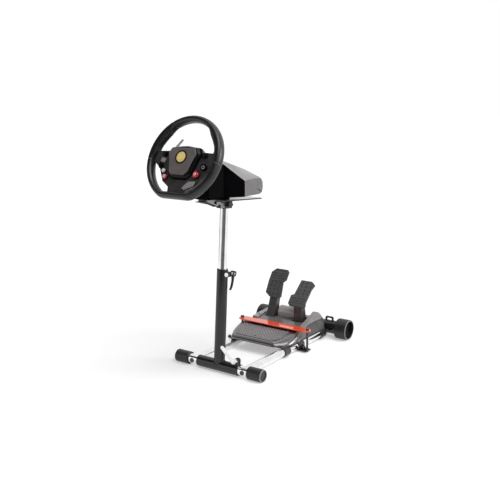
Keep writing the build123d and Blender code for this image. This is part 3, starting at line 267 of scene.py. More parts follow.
def domed(high, edge, crown=0.0, base=-1.0):
    # a flat-bottomed cap: straight wall, quarter-round edge of that radius, then a top that rises by crown
    # to its middle
    wall = [(0, 0, base), (0, 1, base)]
    turn = [(back, 1, base + high - edge + up) for back, up in quarter(edge, 7)]
    top = [(edge, s, base + high + crown * (1 - s * s)) for s in (0.75, 0.5, 0.25, 0)]
    return wall + turn + top


def ridge(spot, start, end, width, high, steps=9, tip=0.08, sunk=0.4):
    # a half-round bar between two points on the spot's plane, sunk a little, whose ends fall to nothing
    # along a quarter ellipse over the tip's share of each half
    (x0, y0), (x1, y1) = start, end
    along = np.array([x1 - x0, y1 - y0]) / np.hypot(x1 - x0, y1 - y0)
    across = np.array([-along[1], along[0]])
    share = np.concatenate([[0.0, 0.004, 0.016], np.linspace(0.04, 0.96, steps), [0.984, 0.996, 1.0]])
    into = np.clip(np.abs(2 * share - 1) - (1 - tip), 0, None)
    swell = np.sqrt(np.clip(1 - into ** 2 / tip ** 2, 0, 1))
    t = np.linspace(0, pi, 9)
    a = np.outer(swell, np.cos(t)) * width / 2
    c = np.outer(swell, np.sin(t)) * high
    x = x0 + share[:, None] * (x1 - x0) + a * across[0]
    y = y0 + share[:, None] * (y1 - y0) + a * across[1]
    return spot.at(x, y, c - sunk)


def pointsOf(node):
    xyz = np.empty(3 * len(nodes[node].data.vertices), np.float32)
    nodes[node].data.vertices.foreach_get("co", xyz)
    return xyz.reshape(-1, 3)


def spanAlong(node, spot):
    # where the node starts and ends along the spot's out direction, in mm
    along = (pointsOf(node) - spot.origin) @ spot.out / mm
    return along.min(), along.max()


def seated(node, start, towards, right=(1, 0, 0)):
    # the spot where a ray from start first meets the node, facing back out of its surface
    faces = [f.vertices[:] for f in nodes[node].data.polygons]
    tree = BVHTree.FromPolygons(pointsOf(node).tolist(), faces)
    hit, normal = tree.ray_cast(Vector(start), Vector(towards))[:2]
    return Spot(hit, normal * (-1 if normal.dot(Vector(towards)) > 0 else 1), right)


def pipe(spot, start, end, outer, inner, sides=96, ease=0.6):
    # a tube along the spot's out direction: a closed wall profile with eased lips carried once round
    wall = [(inner, start), (outer - ease, start), (outer, start + ease),
            (outer, end - ease), (outer - ease, end), (inner, end)]
    return turned(spot, wall, sides).transpose(1, 0, 2)


def smoothStep(x, start, end):
    t = np.clip((x - start) / (end - start), 0, 1)
    return t * t * (3 - 2 * t)


# finishes

class Wire:
    # a shader socket that can be added, multiplied and so on; each operation is one Math node
    def __init__(self, finish, socket):
        self.finish, self.socket = finish, socket

    def math(self, kind, *values):
        return self.finish.node("ShaderNodeMath", {"operation": kind}, dict(enumerate(values)))

    def __add__(self, other):
        return self.math("ADD", self, other)

    def __rsub__(self, other):
        return self.math("SUBTRACT", other, self)

    def __mul__(self, other):
        return self.math("MULTIPLY", self, other)

    __radd__, __rmul__ = __add__, __mul__

    def __abs__(self):
        return self.math("ABSOLUTE", self)

    def above(self, level):
        return self.math("GREATER_THAN", self, level)

    def orElse(self, other):
        return self.math("MAXIMUM", self, other)

    def ramp(self, start, end):
        return self.finish.node("ShaderNodeMapRange", {"interpolation_type": "SMOOTHSTEP"},
                                {0: self, 1: start, 2: end})


class Shading:
    # a node tree, and the one way that nodes and links get into it
    def __init__(self, tree):
        self.tree = tree

    def node(self, kind, settings, sockets, out=0):
        made = self.tree.nodes.new(kind)
        for key, value in settings.items():
            setattr(made, key, value)
        for key, value in sockets.items():
            self.join(made.inputs[key], value)
        return Wire(self, made.outputs[out])

    def join(self, socket, value):
        if isinstance(value, Wire):
            self.tree.links.new(value.socket, socket)
        elif socket.type == "RGBA":
            socket.default_value = (*value, 1)
        else:
            socket.default_value = value


class Finish(Shading):
    def __init__(self, name):
        self.material = bpy.data.materials.new(name)
        self.material.use_nodes = True
        super().__init__(self.material.node_tree)
        self.shader = self.tree.nodes["Principled BSDF"]
        self.place = self.node("ShaderNodeTexCoord", {}, {}, "Object")

    def set(self, **sockets):
        for key, value in sockets.items():
            self.join(self.shader.inputs[key.replace("_", " ")], value)
        return self

    def stretched(self, scale):
        return self.node("ShaderNodeMapping", {}, {"Vector": self.place, "Scale": scale})

    def noise(self, scale, detail=3.0, vector=None, rough=0.5):
        return self.node("ShaderNodeTexNoise", {}, {"Vector": vector or self.place, "Scale": scale,
                                                    "Detail": detail, "Roughness": rough}, "Fac")

    def cells(self, scale):
        return self.node("ShaderNodeTexVoronoi", {"feature": "SMOOTH_F1"},
                         {"Vector": self.place, "Scale": scale, "Smoothness": 0.6}, "Distance")

    def axis(self, name):
        return self.node("ShaderNodeSeparateXYZ", {}, {0: self.place}, name)

    def blend(self, share, a, b):
        return self.node("ShaderNodeMix", {"data_type": "RGBA"}, {0: share, 6: a, 7: b}, 2)

    def bump(self, height, strength, deep):
        sockets = {"Height": height, "Strength": strength, "Distance": deep * mm}
        return self.node("ShaderNodeBump", {}, sockets)

    def attribute(self, name):
        return self.node("ShaderNodeAttribute", {"attribute_name": name}, {}, "Fac")


finishes = {}


def grained(name, look):
    # two shades mixed by a broad cloud, roughness that wanders with it and a fine grain in relief
    f = Finish(name)
    cloud = f.noise(look["cloud"], 4.0)
    grain = f.noise(look["grain"], 3.0, rough=0.6)
    low, high = look["rough"]
    f.set(Base_Color=f.blend(cloud.ramp(0.35, 0.65), look["shade"], look["tint"]),
          Roughness=low + (high - low) * (0.6 * cloud + 0.4 * grain),
          Normal=f.bump(grain, look["relief"], look["deep"]), Metallic=look.get("metal", 0.0),
          Coat_Weight=look.get("coat", 0.0), Coat_Roughness=look.get("coatRough", 0.1),
          Specular_IOR_Level=look.get("specular", 0.5))
    finishes[name] = f.material
    return f


columns = ("shade", "tint", "cloud", "grain", "rough", "relief", "deep")  # and what else it has
looks = dict(
    black_tube=((0.008, 0.0075, 0.0075), (0.012, 0.011, 0.011), 22, 1500, (0.13, 0.20), 0.03, 0.08, {}),
    strap_black=((0.022, 0.020, 0.020), (0.032, 0.029, 0.029), 60, 1200, (0.28, 0.42), 0.12, 0.15, {}),
    bar_red=((0.95, 0.085, 0.018), (0.98, 0.105, 0.026), 30, 900, (0.06, 0.10), 0.01, 0.05,
             dict(coat=0.5, coatRough=0.03)),
    steel_fastener=((0.05, 0.05, 0.054), (0.11, 0.11, 0.115), 240, 1800, (0.25, 0.42), 0.1, 0.1,
                    dict(metal=0.75)),
    plate_black=((0.008, 0.0075, 0.008), (0.013, 0.012, 0.0125), 40, 1100, (0.08, 0.14), 0.03, 0.08, {}),
    plastic_black=((0.010, 0.0095, 0.010), (0.016, 0.015, 0.0155), 55, 1600, (0.30, 0.42), 0.15, 0.12, {}),
    plastic_gloss=((0.002, 0.0018, 0.0025), (0.004, 0.0036, 0.0046), 18, 300, (0.14, 0.22), 0.02, 0.08,
                   dict(specular=0.14)),
    plastic_grey=((0.280, 0.272, 0.266), (0.300, 0.292, 0.284), 35, 1400, (0.27, 0.31), 0.12, 0.1, {}),
    plastic_mid=((0.046, 0.041, 0.042), (0.062, 0.056, 0.057), 45, 1300, (0.13, 0.20), 0.05, 0.08, {}),
    knob_red=((0.50, 0.030, 0.050), (0.62, 0.055, 0.075), 160, 900, (0.16, 0.26), 0.05, 0.1,
              dict(coat=0.3)),
    disc_yellow=((0.90, 0.66, 0.20), (0.95, 0.75, 0.30), 70, 1200, (0.16, 0.26), 0.04, 0.08,
                 dict(coat=0.5)),
    pad_metal=((0.062, 0.060, 0.062), (0.088, 0.085, 0.088), 70, 1100, (0.30, 0.45), 0.2, 0.15, {}),
    # shades within a slot: the housing, hub pad, spokes, the tail (darker: painted shade on its side), pedal
    # arms, cheeks, barrel, the heel and pedal base (one part in two shades: painted shade at its front,
    # painted light behind), the pale tops of the red knobs (painted highlights) and a near-black (painted
    # shade in holes, slots and slits, and the dark bracket bolt heads)
    housing_black=((0.0012, 0.001, 0.0016), (0.0026, 0.0022, 0.0032), 18, 300, (0.12, 0.20), 0.02, 0.06,
                   dict(specular=0.02)),
    hub_soft=((0.120, 0.104, 0.102), (0.140, 0.123, 0.120), 40, 1700, (0.42, 0.55), 0.2, 0.12, {}),
    spoke_grey=((0.034, 0.031, 0.032), (0.046, 0.042, 0.043), 55, 1600, (0.30, 0.42), 0.15, 0.12, {}),
    tail_grey=((0.158, 0.152, 0.154), (0.172, 0.165, 0.167), 35, 1400, (0.27, 0.31), 0.12, 0.1, {}),
    arm_black=((0.036, 0.034, 0.036), (0.050, 0.048, 0.050), 60, 1200, (0.26, 0.38), 0.12, 0.12, {}),
    cover_grey=((0.300, 0.285, 0.283), (0.350, 0.334, 0.331), 45, 1300, (0.20, 0.30), 0.12, 0.1, {}),
    barrel_grey=((0.42, 0.405, 0.40), (0.48, 0.463, 0.458), 45, 1300, (0.18, 0.26), 0.08, 0.1, {}),
    heel_gloss=((0.046, 0.041, 0.042), (0.058, 0.052, 0.053), 45, 1300, (0.19, 0.24), 0.04, 0.08,
                dict(specular=1.0, coat=0.7, coatRough=0.18)),
    base_grey=((0.140, 0.130, 0.131), (0.160, 0.150, 0.151), 45, 1300, (0.16, 0.22), 0.05, 0.08, {}),
    knob_pale=((0.72, 0.44, 0.46), (0.80, 0.56, 0.57), 160, 900, (0.14, 0.24), 0.05, 0.1, dict(coat=0.3)),
    deep_black=((0.004, 0.004, 0.004), (0.008, 0.008, 0.008), 90, 900, (0.5, 0.7), 0.1, 0.1,
                dict(specular=0.2)),
)
for name, (*row, more) in looks.items():
    grained(name, dict(zip(columns, row)) | more)


def polished(name, shade, rough, streak):
    # plated tube: bright metal whose polish wanders in fine lines, with faint clouds of wear
    f = Finish(name)
    cloud = f.noise(28, 4.0)
    lines = f.noise(streak, 2.0, f.stretched((1.0, 0.06, 0.06)))
    low, high = rough
    f.set(Base_Color=f.blend(cloud.ramp(0.4, 0.62), shade, tuple(0.93 * s for s in shade)), Metallic=1.0,
          Roughness=low + (high - low) * (0.5 * cloud + 0.5 * lines))
    finishes[name] = f.material


polished("chrome_tube", (0.86, 0.85, 0.86), (0.04, 0.10), 900)
polished("lever_chrome", (0.84, 0.84, 0.85), (0.07, 0.18), 700)


def brushed(name, shade, dark, rough, metal):
    # sheet metal drawn lengthwise: grain stretched along y, a little darker in its lines
    f = Finish(name)
    lines = f.noise(1300, 3.0, f.stretched((1.0, 0.03, 1.0)))
    cloud = f.noise(35, 3.0)
    low, high = rough
    f.set(Base_Color=f.blend(lines.ramp(0.3, 0.7), dark, shade), Metallic=metal,
          Roughness=low + (high - low) * (0.5 * lines + 0.5 * cloud), Normal=f.bump(lines, 0.12, 0.1))
    finishes[name] = f.material


brushed("bracket_steel", (0.37, 0.362, 0.367), (0.24, 0.233, 0.237), (0.30, 0.46), 0.85)
brushed("paddle_alu", (0.86, 0.86, 0.87), (0.76, 0.76, 0.77), (0.26, 0.40), 0.2)


def capRubber(look):
    # moulded rubber: fine grain, and a painted highlight, a paler ring where each cap ends, told by its
    # distance from the middle
    f = grained("cap_rubber", look)
    off = abs(f.axis("X"))
    front = off.ramp(*[(look["frontEnd"] - back) * mm for back in look["frontHighlight"]])
    rear = off.ramp(*[(look["rearEnd"] - back) * mm for back in look["rearHighlight"]])
    ahead = 1 - f.axis("Y").above(0.0)
    edgeHighlight = front * ahead + rear * (1 - ahead)
    plain = f.blend(f.noise(look["cloud"], 4.0).ramp(0.35, 0.65), look["shade"], look["tint"])
    f.set(Base_Color=f.blend(edgeHighlight, plain, look["edgeHighlight"]))


capRubber(dict(shade=(0.007, 0.0065, 0.0065), tint=(0.013, 0.012, 0.012), edgeHighlight=(0.26, 0.25, 0.25),
               cloud=50, grain=1300, rough=(0.36, 0.50), relief=0.2, deep=0.15,
               frontEnd=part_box("front_cap_right")[1].x / mm, frontHighlight=(2.4, 1.0),
               rearEnd=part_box("rear_cap_right")[1].x / mm, rearHighlight=(1.2, 0.2)))


def treadGrey(look):
    # painted shade and light: paler where the piece's own "raised" attribute is high and darker between the
    # lozenges
    f = grained("tread_grey", look)
    f.set(Base_Color=f.blend(f.attribute("raised"), look["shade"], look["tint"]))


treadGrey(dict(shade=(0.150, 0.136, 0.141), tint=(0.330, 0.300, 0.311), cloud=50, grain=1200,
               rough=(0.22, 0.32), relief=0.1, deep=0.1))


def rimRubber(look):
    # soft rubber, pebbled where the piece's own "grip" attribute says so and nearly smooth elsewhere
    f = grained("rim_rubber", look)
    grip = f.attribute("grip")
    pebble = f.cells(look["pebble"])
    fine = f.noise(look["grain"], 3.0)
    f.set(Normal=f.bump(pebble * grip + 0.25 * fine, 0.5, look["pebbleDeep"]))


rimRubber(dict(shade=(0.006, 0.0055, 0.006), tint=(0.009, 0.0085, 0.009), cloud=40, grain=1600,
               rough=(0.27, 0.35), relief=0.2, deep=0.12, pebble=520, pebbleDeep=0.4))


def perPoint(piece, name, values):
    # one number for each point of the piece, which its finish reads
    piece.data.attributes.new(name, "FLOAT", "POINT").data.foreach_set("value", values.astype(np.float32))


print("finishes:", len(finishes))


# wheel rim

rim = dict(halfIn=10.6, halfDeep=17.0, back=5.0, flat=118.5, corner=34.0, squareness=2.2, steps=840, sides=48,
           # degrees from the top: where the thumb bulge grows, dips, fades and closes, and where the grip is
           bulge=9.0, grow=(32.0, 50.0), dip=(58.0, 72.0), fade=(80.0, 96.0), close=(84.0, 96.0), dipBy=0.25,
           gripFrom=(32.0, 35.0), gripTo=(93.0, 95.0),
           seams=(-4.0, 184.0, 58.0, 122.0), seamDeep=1.1, seamWide=1.1)  # degrees round from the right
rim["path"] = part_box("wheel_rim")[1].x / mm - rim["halfIn"]


def rimPath(s, look):
    # a circle cut by a flat at its foot with rounded corners, by length s from the middle of the flat
    path, flat, corner = look["path"], look["flat"], look["corner"]
    cx, cy = sqrt((path - corner) ** 2 - (flat - corner) ** 2), corner - flat
    low = atan2(flat - corner, cx)  # how far below level the corners begin
    ends = np.cumsum([cx, corner * (pi / 2 - low), path * (pi + 2 * low), corner * (pi / 2 - low), cx])
    s = s * ends[-1]
    where = [s < ends[0], s < ends[1], s < ends[2], s < ends[3]]
    angle = np.select(where, [-pi / 2 + 0 * s, -pi / 2 + (s - ends[0]) / corner, -low + (s - ends[1]) / path,
                              pi + low + (s - ends[2]) / corner], 1.5 * pi)
    midX = np.select(where, [s, cx, 0 * s, -cx], s - ends[-1])
    midY = np.select(where, [cy, cy, 0 * s, cy], cy)
    reach = np.select(where, [corner, corner, path, corner], corner)
    return midX + reach * np.cos(angle), midY + reach * np.sin(angle), angle


def wheelRim(look):
    # a soft square section, sign(cos) * |cos| ** (2 / squareness) and the same of sin, carried along the
    # path; its inner side swells by the thumb bulge, and a bell curve pinches it at each seam
    s = np.linspace(0, 1, look["steps"], endpoint=False)
    x, y, angle = rimPath(s, look)
    deg = np.degrees(angle)
    fromTop = np.abs(deg - 90)
    grow, dip, fade, close = (smoothStep(fromTop, *look[key]) for key in ("grow", "dip", "fade", "close"))
    thumb = look["bulge"] * grow * (1 - look["dipBy"] * dip - (1 - look["dipBy"]) * fade) * (1 - close)
    seam = sum(np.exp(-((deg - d) * pi / 180 * look["path"] / look["seamWide"]) ** 2) for d in look["seams"])
    w = circle(look["sides"])
    power = 2 / look["squareness"]
    ca, sa = (np.sign(f(w)) * np.abs(f(w)) ** power for f in (np.cos, np.sin))
    shrink = (look["seamDeep"] * seam)[:, None]
    inner = np.where(np.cos(w) < 0, 1, 0) * thumb[:, None]
    away = ca * (look["halfIn"] + inner - shrink)
    out = sa * (look["halfDeep"] - shrink) - look["back"]
    x, y, angle = x[:, None], y[:, None], angle[:, None]
    shell = Shell().add(wheelSpot.at(x + away * np.cos(angle), y + away * np.sin(angle), out), wrapRows=True)
    piece = shell.piece("rimGrip", "wheel", "rim_rubber", crease=60, replaces=["wheel_rim"])
    grip = smoothStep(fromTop, *look["gripFrom"]) * (1 - smoothStep(fromTop, *look["gripTo"]))
    perPoint(piece, "grip", np.repeat(grip, look["sides"]))


wheelRim(rim)

# hub: pad, bezel, disc, shell behind

hub = dict(foot=-4.0, high=17.0, slope=12.0, edge=2.6, rise=-6.0, sharp=36,
           corners=[(-66, 15), (-46, -53), (-29, -68), (29, -68), (46, -53), (66, 15),
                    (56, 36), (0, 43), (-56, 36)],
           bezel=22.0, disc=17.0, back=(55.0, 40.0), backRise=4.0, backFrom=-20.0, backTo=-40.0,
           backLean=2.6, backEdge=8.0)


def hubPad(look):
    # a soft shield in two layers: a black skirt that leans in by slope, painted shade for the pad's
    # shaded walls, then a pad with a quarter-round edge
    outline = softOutline(np.array(look["corners"], float) - (0, look["rise"]), look["sharp"], 160)
    foot, top, e, sl = look["foot"], look["foot"] + look["high"], look["edge"], look["slope"]
    spot = wheelSpot.moved(0, look["rise"])
    part = top - e - 0.6  # the black skirt reaches up to here
    skirt = [(0, 0, foot - 1), (0, 1, foot - 1), (0.2, 1, foot + 1), (sl * 0.6, 1, part - 3),
             (sl, 1, part), (sl, 0, part)]
    Shell().add(pillow(spot, outline, skirt)).piece("hubSkirtShade", "wheel", "plastic_gloss")
    rows = [(sl, 0, part - 1), (sl + 0.3, 1, part - 1)]
    rows += [(sl + 0.3 + back, 1, top - e + up) for back, up in quarter(e, 8)]
    rows += [(sl + e + 0.9, s, top) for s in (1, 0.7, 0.4, 0)]
    pad = Shell().add(pillow(spot, outline, rows))
    pad.piece("hubPad", "wheel", "plastic_mid", replaces=["hub_pad"], finish="hub_soft")
    inner, outer = look["disc"], look["bezel"]
    bezel = roundCorners([(inner, top - 1), (inner, top + 1.4), (inner + 2, top + 2.2),
                          (outer - 1, top + 1.9), (outer, top - 1)], 0.7)
    ring = Shell().add(turned(wheelSpot, bezel, 72).transpose(1, 0, 2), wrapRows=True)
    ring.piece("hubBezel", "wheel", "plastic_gloss", replaces=["badge_ring"])
    disc = [(0, top - 1), (inner + 0.3, top - 1), (inner + 0.3, top + 0.7), (inner * 0.66, top + 1.3),
            (inner * 0.33, top + 1.6), (0, top + 1.7)]
    Shell().add(turned(wheelSpot, disc, 64)).piece("hubDisc", "wheel", "disc_yellow", replaces=["badge_disc"])


def hubShell(look):
    # a soft box behind the spokes: its walls lean in a little and end in a quarter round
    deep, e, lean = look["backFrom"] - look["backTo"], look["backEdge"], look["backLean"]
    behind = Spot(wheelSpot.at(0, look["backRise"], look["backFrom"]), -wheelSpot.out)
    rows = [(0, 0, -1), (0, 1, -1), (0.4, 1, deep * 0.35)]
    rows += [(lean + back, 1, deep - e + up) for back, up in quarter(e, 8)]
    rows += [(lean + e, s, deep) for s in (0.6, 0)]
    shell = Shell().add(pillow(behind, softOutline(box(*look["back"]), 5.0, 120), rows))
    shell.piece("hubShell", "wheel", "plastic_grey", replaces=["hub_back"])


hubPad(hub)
hubShell(hub)
print("wheel: rim and hub")

# hand controls on the spokes

controls = dict(face=-4.0, rocker=(-77.5, 12, -12), toggle=(77.5, 12, 12), clear=(-80.5, -8),
                button=(-83.5, -26), dial=(85.5, -25), silver=(-66, -43), redKnob=(-54.5, -62),
                redDial=(63.5, -49), collars=dict(redKnob=8, redDial=11, silver=6.5, button=7.5),
                panel=[(20, -93), (38, -71), (67, -69), (63, -84), (30, -99)], border=1.10,
                ribs=(-74.0, -78.5, -83.0, -87.5, -92.0), ribInset=2.5, ribWide=2.4, ribHigh=1.5,
                panelLeft=((-99, -93, -71), (30, 20, 38)), panelRight=((-99, -84, -69), (30, 63, 67)))


def key(place, half, rows, power=2, turns=48, turn=0.0):
    # a pillow on the spokes' face with a soft box as its outline, which a power of 2 makes round
    outline = softOutline(box(*half), power, turns)
    return pillow(wheelSpot.moved(*place, controls["face"], turn), outline, rows)


def handControls(look):
    rockers = Shell()
    for x, y, turn in (look["rocker"], look["toggle"]):
        rockers.add(key((x, y), (10, 7.5), domed(4.5, 1.2), 9, 64, turn))
        for half in ((8.2, 2.6), (2.6, 6.2)):
            rockers.add(key((x, y), half, domed(7.5, 1.3, 1.2, base=1), 8, 48, turn))
    rockers.piece("thumbRockers", "wheel", "plastic_gloss", replaces=["rocker_switches"])
    t = circle(144)
    knurl = t, 11 * (1 + 0.025 * np.cos(18 * t))
    lobes = t, 10.2 * (1 + 0.085 * np.cos(3 * t + 0.6))
    ringRows = [(0, 0, -1), (0, 1, -1), (0, 1, 8), (0.5, 1, 9), (1.6, 1, 9.3), (3.4, 1, 9.0),
                (4.2, 1, 7.0), (4.2, 0, 7.0)]
    rounds = Shell().add(key(look["button"], (7.5, 7.5), domed(9, 2.2, 0.8)))
    rounds.add(pillow(wheelSpot.moved(*look["dial"], look["face"]), knurl, ringRows))
    rounds.add(key(look["dial"], (2.8, 2.8), domed(9.6, 0.8, 0.2), turns=32))
    rounds.piece("blackButtons", "wheel", "plastic_gloss", replaces=["round_buttons"])
    reds = Shell().add(key(look["redKnob"], (8, 8), domed(10.5, 2.6, 0.6)))
    reds.add(pillow(wheelSpot.moved(*look["redDial"], look["face"]), lobes, domed(10.5, 2.4, 0.8)))
    reds.piece("redKnobs", "wheel", "knob_red", replaces=["red_controls"])
    silver = Shell().add(key(look["silver"], (6.5, 6.5), domed(9.5, 3.0, 0.8)))
    silver.piece("silverButton", "wheel", "paddle_alu", replaces=["silver_button"])
    trim = Shell()
    for name, r in look["collars"].items():
        collar = [(r + 0.4, -1), (r + 0.4, 3.0), (r + 1.4, 3.6), (r + 2.6, 2.8), (r + 2.8, -1)]
        spot = wheelSpot.moved(*look[name], look["face"])
        trim.add(turned(spot, collar, 48).transpose(1, 0, 2), wrapRows=True)
    trim.piece("buttonCollars", "wheel", "plastic_gloss")
    pale = Shell().add(key(look["clear"], (8.5, 7), domed(5, 1.6, 0.6), 8, 64, -10))
    pale.add(key(look["dial"], (6.4, 6.4), domed(8.5, 0.4), turns=40))
    pale.piece("paleInserts", "wheel", "plastic_grey")
    # pale pink caps on the red knobs: painted highlights
    tops = Shell()
    for name in ("redKnob", "redDial"):
        tops.add(key(look[name], (5.2, 5.2), domed(11.6, 1.4, 0.4), turns=40))
    tops.piece("knobHighlights", "wheel", "knob_red", finish="knob_pale")
    corners = np.array(look["panel"], float)
    centre = corners.mean(0)
    spot = wheelSpot.moved(*centre, look["face"])
    wide = softOutline((corners - centre) * look["border"], 24, 120)
    Shell().add(pillow(spot, wide, domed(3.0, 0.8, base=-2))).piece("panelFrame", "wheel", "plastic_gloss")
    ribs = Shell().add(pillow(spot, softOutline(corners - centre, 24, 120), domed(3.8, 0.6, base=-2)))
    level, inset = wheelSpot.moved(0, 0, look["face"] + 2.1), look["ribInset"]
    for y in look["ribs"]:  # each rib runs from one slanting side of the panel to the other
        left, right = np.interp(y, *look["panelLeft"]), np.interp(y, *look["panelRight"])
        ribs.add(ridge(level, (left + inset, y), (right - inset, y), look["ribWide"], look["ribHigh"]))
    ribs.piece("ribbedPanel", "wheel", "plastic_mid", finish="cover_grey")


handControls(controls)
softened("wheel_spokes", "plastic_black", 3.0, finish="spoke_grey")
for side in ("paddle_left", "paddle_right"):
    softened(side, "paddle_alu", 0.8)
print("wheel: controls, spokes and paddles")

# wheel base: gloss housing, grey hood and tail, told by stations along it

base = dict(foot=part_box("base_tail")[0].z / mm, stations=(12.0, 108.0), ridge=(51.0, 54.0), half=100.0,
            ledge=42.0, ledgeFall=0.33, ledgeLow=22.0, ledgeOut=2.2, bulge=23.0, corner=24.0,
            slotFrom=(80.0, 20.0), slotTo=(108.0, 7.0), slotWide=4.0, slotHigh=1.7)


def baseTail(look):
    # slices from the front to the round back: y = front + t * (back(z) - front), where back(z) is a half
    # circle in z; the half width falls by a quarter circle at the rear corners, and the sides step out by
    # ledgeOut under the ledge
    front, end = look["stations"]
    high = look["ridge"][1]
    t = np.concatenate([np.linspace(0, 0.78, 12), 1 - 0.22 * (1 - np.sin(np.linspace(0, pi / 2, 10)[1:]))])
    y = front + t * (end + look["bulge"] - front)
    into = np.clip((y - end - look["bulge"] + look["corner"]) / look["corner"], 0, 1)
    half = look["half"] - look["corner"] * (1 - np.sqrt(1 - into ** 2))
    ledge = np.maximum(look["ledge"] - look["ledgeFall"] * (y - front), look["ledgeLow"])
    top = np.interp(y, look["stations"], look["ridge"])
    out = look["ledgeOut"] * (1 - smoothStep(y, end - 30, end))
    x = np.stack([half - 8, half - 3, half - 0.8, half, half, half, half, half - 0.3 * out,
                  half - out, half - out, half - out, half - out - 0.8, half - out - 3, half - 10], 1)
    lift = np.array([0, 0.3, 1.2, 3.5, 8.0])
    sides = np.stack([ledge - 6, ledge, ledge + 0.7, ledge + 1.3, (ledge + top) / 2,
                      top - 4.5, top - 1.4, top - 0.3, top], 1)
    z = np.concatenate([lift + 0 * y[:, None], sides], 1)
    back = end + look["bulge"] * np.sqrt(np.clip(1 - (2 * z / high - 1) ** 2, 0, 1))
    deep = front + t[:, None] * (back - front)
    rows = [1.0] * len(t) + [0.66, 0.33, 0.0]
    pick = np.concatenate([np.arange(len(t)), [len(t) - 1] * 3])
    share = np.array(rows)[:, None]
    right = worldSpot.at(x[pick] * share, frontY + deep[pick], look["foot"] + z[pick])
    left = worldSpot.at(-x[pick, ::-1] * share, frontY + deep[pick, ::-1], look["foot"] + z[pick, ::-1])
    shell = Shell().add(np.concatenate([right, left], 1), lids=(True, False))
    # the tail takes a darker grey than the hood: painted shade for its side
    shell.piece("baseTail", "head", "plastic_grey", crease=32, replaces=["base_tail"], finish="tail_grey")
    # thin near-black ridges on the sides: painted shade standing for the dark of the slots
    slots = Shell()
    for side in (-1, 1):
        at = worldSpot.at(side * (look["half"] - 0.9), frontY, look["foot"])
        spot = Spot(at, (side, 0, 0), (0, side, 0))
        (y0, z0), (y1, z1) = look["slotFrom"], look["slotTo"]
        slots.add(ridge(spot, (side * y0, z0), (side * y1, z1), look["slotWide"], look["slotHigh"]))
    slots.piece("tailSlotShades", "head", "plastic_gloss", finish="deep_black")


baseTail(base)
softened("base_hood", "plastic_grey", 5.0)
softened("base_housing", "plastic_gloss", 3.0, finish="housing_black")
softened("column", "plastic_black", 2.0)
print("wheel base: hood, tail and housing")

# stand: cast and pressed parts with rounded edges

edges = {
    "strap_black": dict(rail_clips_left=0.8, rail_clips_right=0.8, clamp_bracket_left=0.9,
                        clamp_bracket_right=0.9, height_ears=0.9, fold_ears=0.9, rear_loops=1.6),
    "bar_red": dict(hold_down_bar=0.7),
    "bracket_steel": dict(tilt_bracket=0.8),
    "plate_black": dict(wheel_plate=1.2, plate_tongue=0.9),
    "lever_chrome": dict(fold_lever=1.4, height_bolt=0.8, fold_skewer=0.8),
    "cap_rubber": dict(front_cap_left=1.2, front_cap_right=1.2, rear_cap_left=1.4, rear_cap_right=1.4),
    "cover_grey": dict(pedal_cheeks=3.5),
    "barrel_grey": dict(pedal_barrel=2.0),
    "plastic_black": dict(tilt_knob=1.4, height_lever=1.0, post_bush=0.6),
    "pad_metal": dict(brake_pad=1.2, throttle_pad=1.2),
    "arm_black": dict(brake_arm=2.0, throttle_arm=2.0),
}
slotOf = dict(cover_grey="plastic_mid", barrel_grey="plastic_mid", arm_black="pad_metal")
for finish, sizes in edges.items():
    for node, width in sizes.items():
        softened(node, slotOf.get(finish, finish), width, finish=finish)

draft = dict(lean=15.0, most=6.0, wall=4.0)


def leaned(points):
    # the outer walls lean in: each point within wall mm of them moves in by its height times tan(lean),
    # up to most
    low, high = points.min(0) / mm, points.max(0) / mm
    x, y, z = points.T / mm
    shift = np.minimum((z - low[2]) * np.tan(radians(draft["lean"])), draft["most"])
    x = x + np.where(x < low[0] + draft["wall"], shift, 0) - np.where(x > high[0] - draft["wall"], shift, 0)
    y = y + np.where(y < low[1] + draft["wall"], shift, 0)
    return np.stack([x, y, z], 1) * mm


heel = dict(foot=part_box("pedal_base")[0].z / mm, ahead=222.0, z=53.5, slope=10.8, edge=2.5, window=9.0,
            middle=(0.0, 278.0), back=335.0, sweep=1.25, steps=240,
            # round from the front left: the foot's x and y, then the top's
            outline=[(-104, 211, -101, 217), (-117, 227, -113, 228), (-127, 249, -124, 249),
                     (-134, 276, -131, 276), (-138, 312, -136, 312), (-137, 334, -134, 334),
                     (-117, 345, -114, 345), (117, 345, 111, 345), (122, 318, 110, 314),
                     (121, 288, 103, 290), (117, 262, 94, 264), (106, 239, 84, 240), (78, 214, 72, 220)])


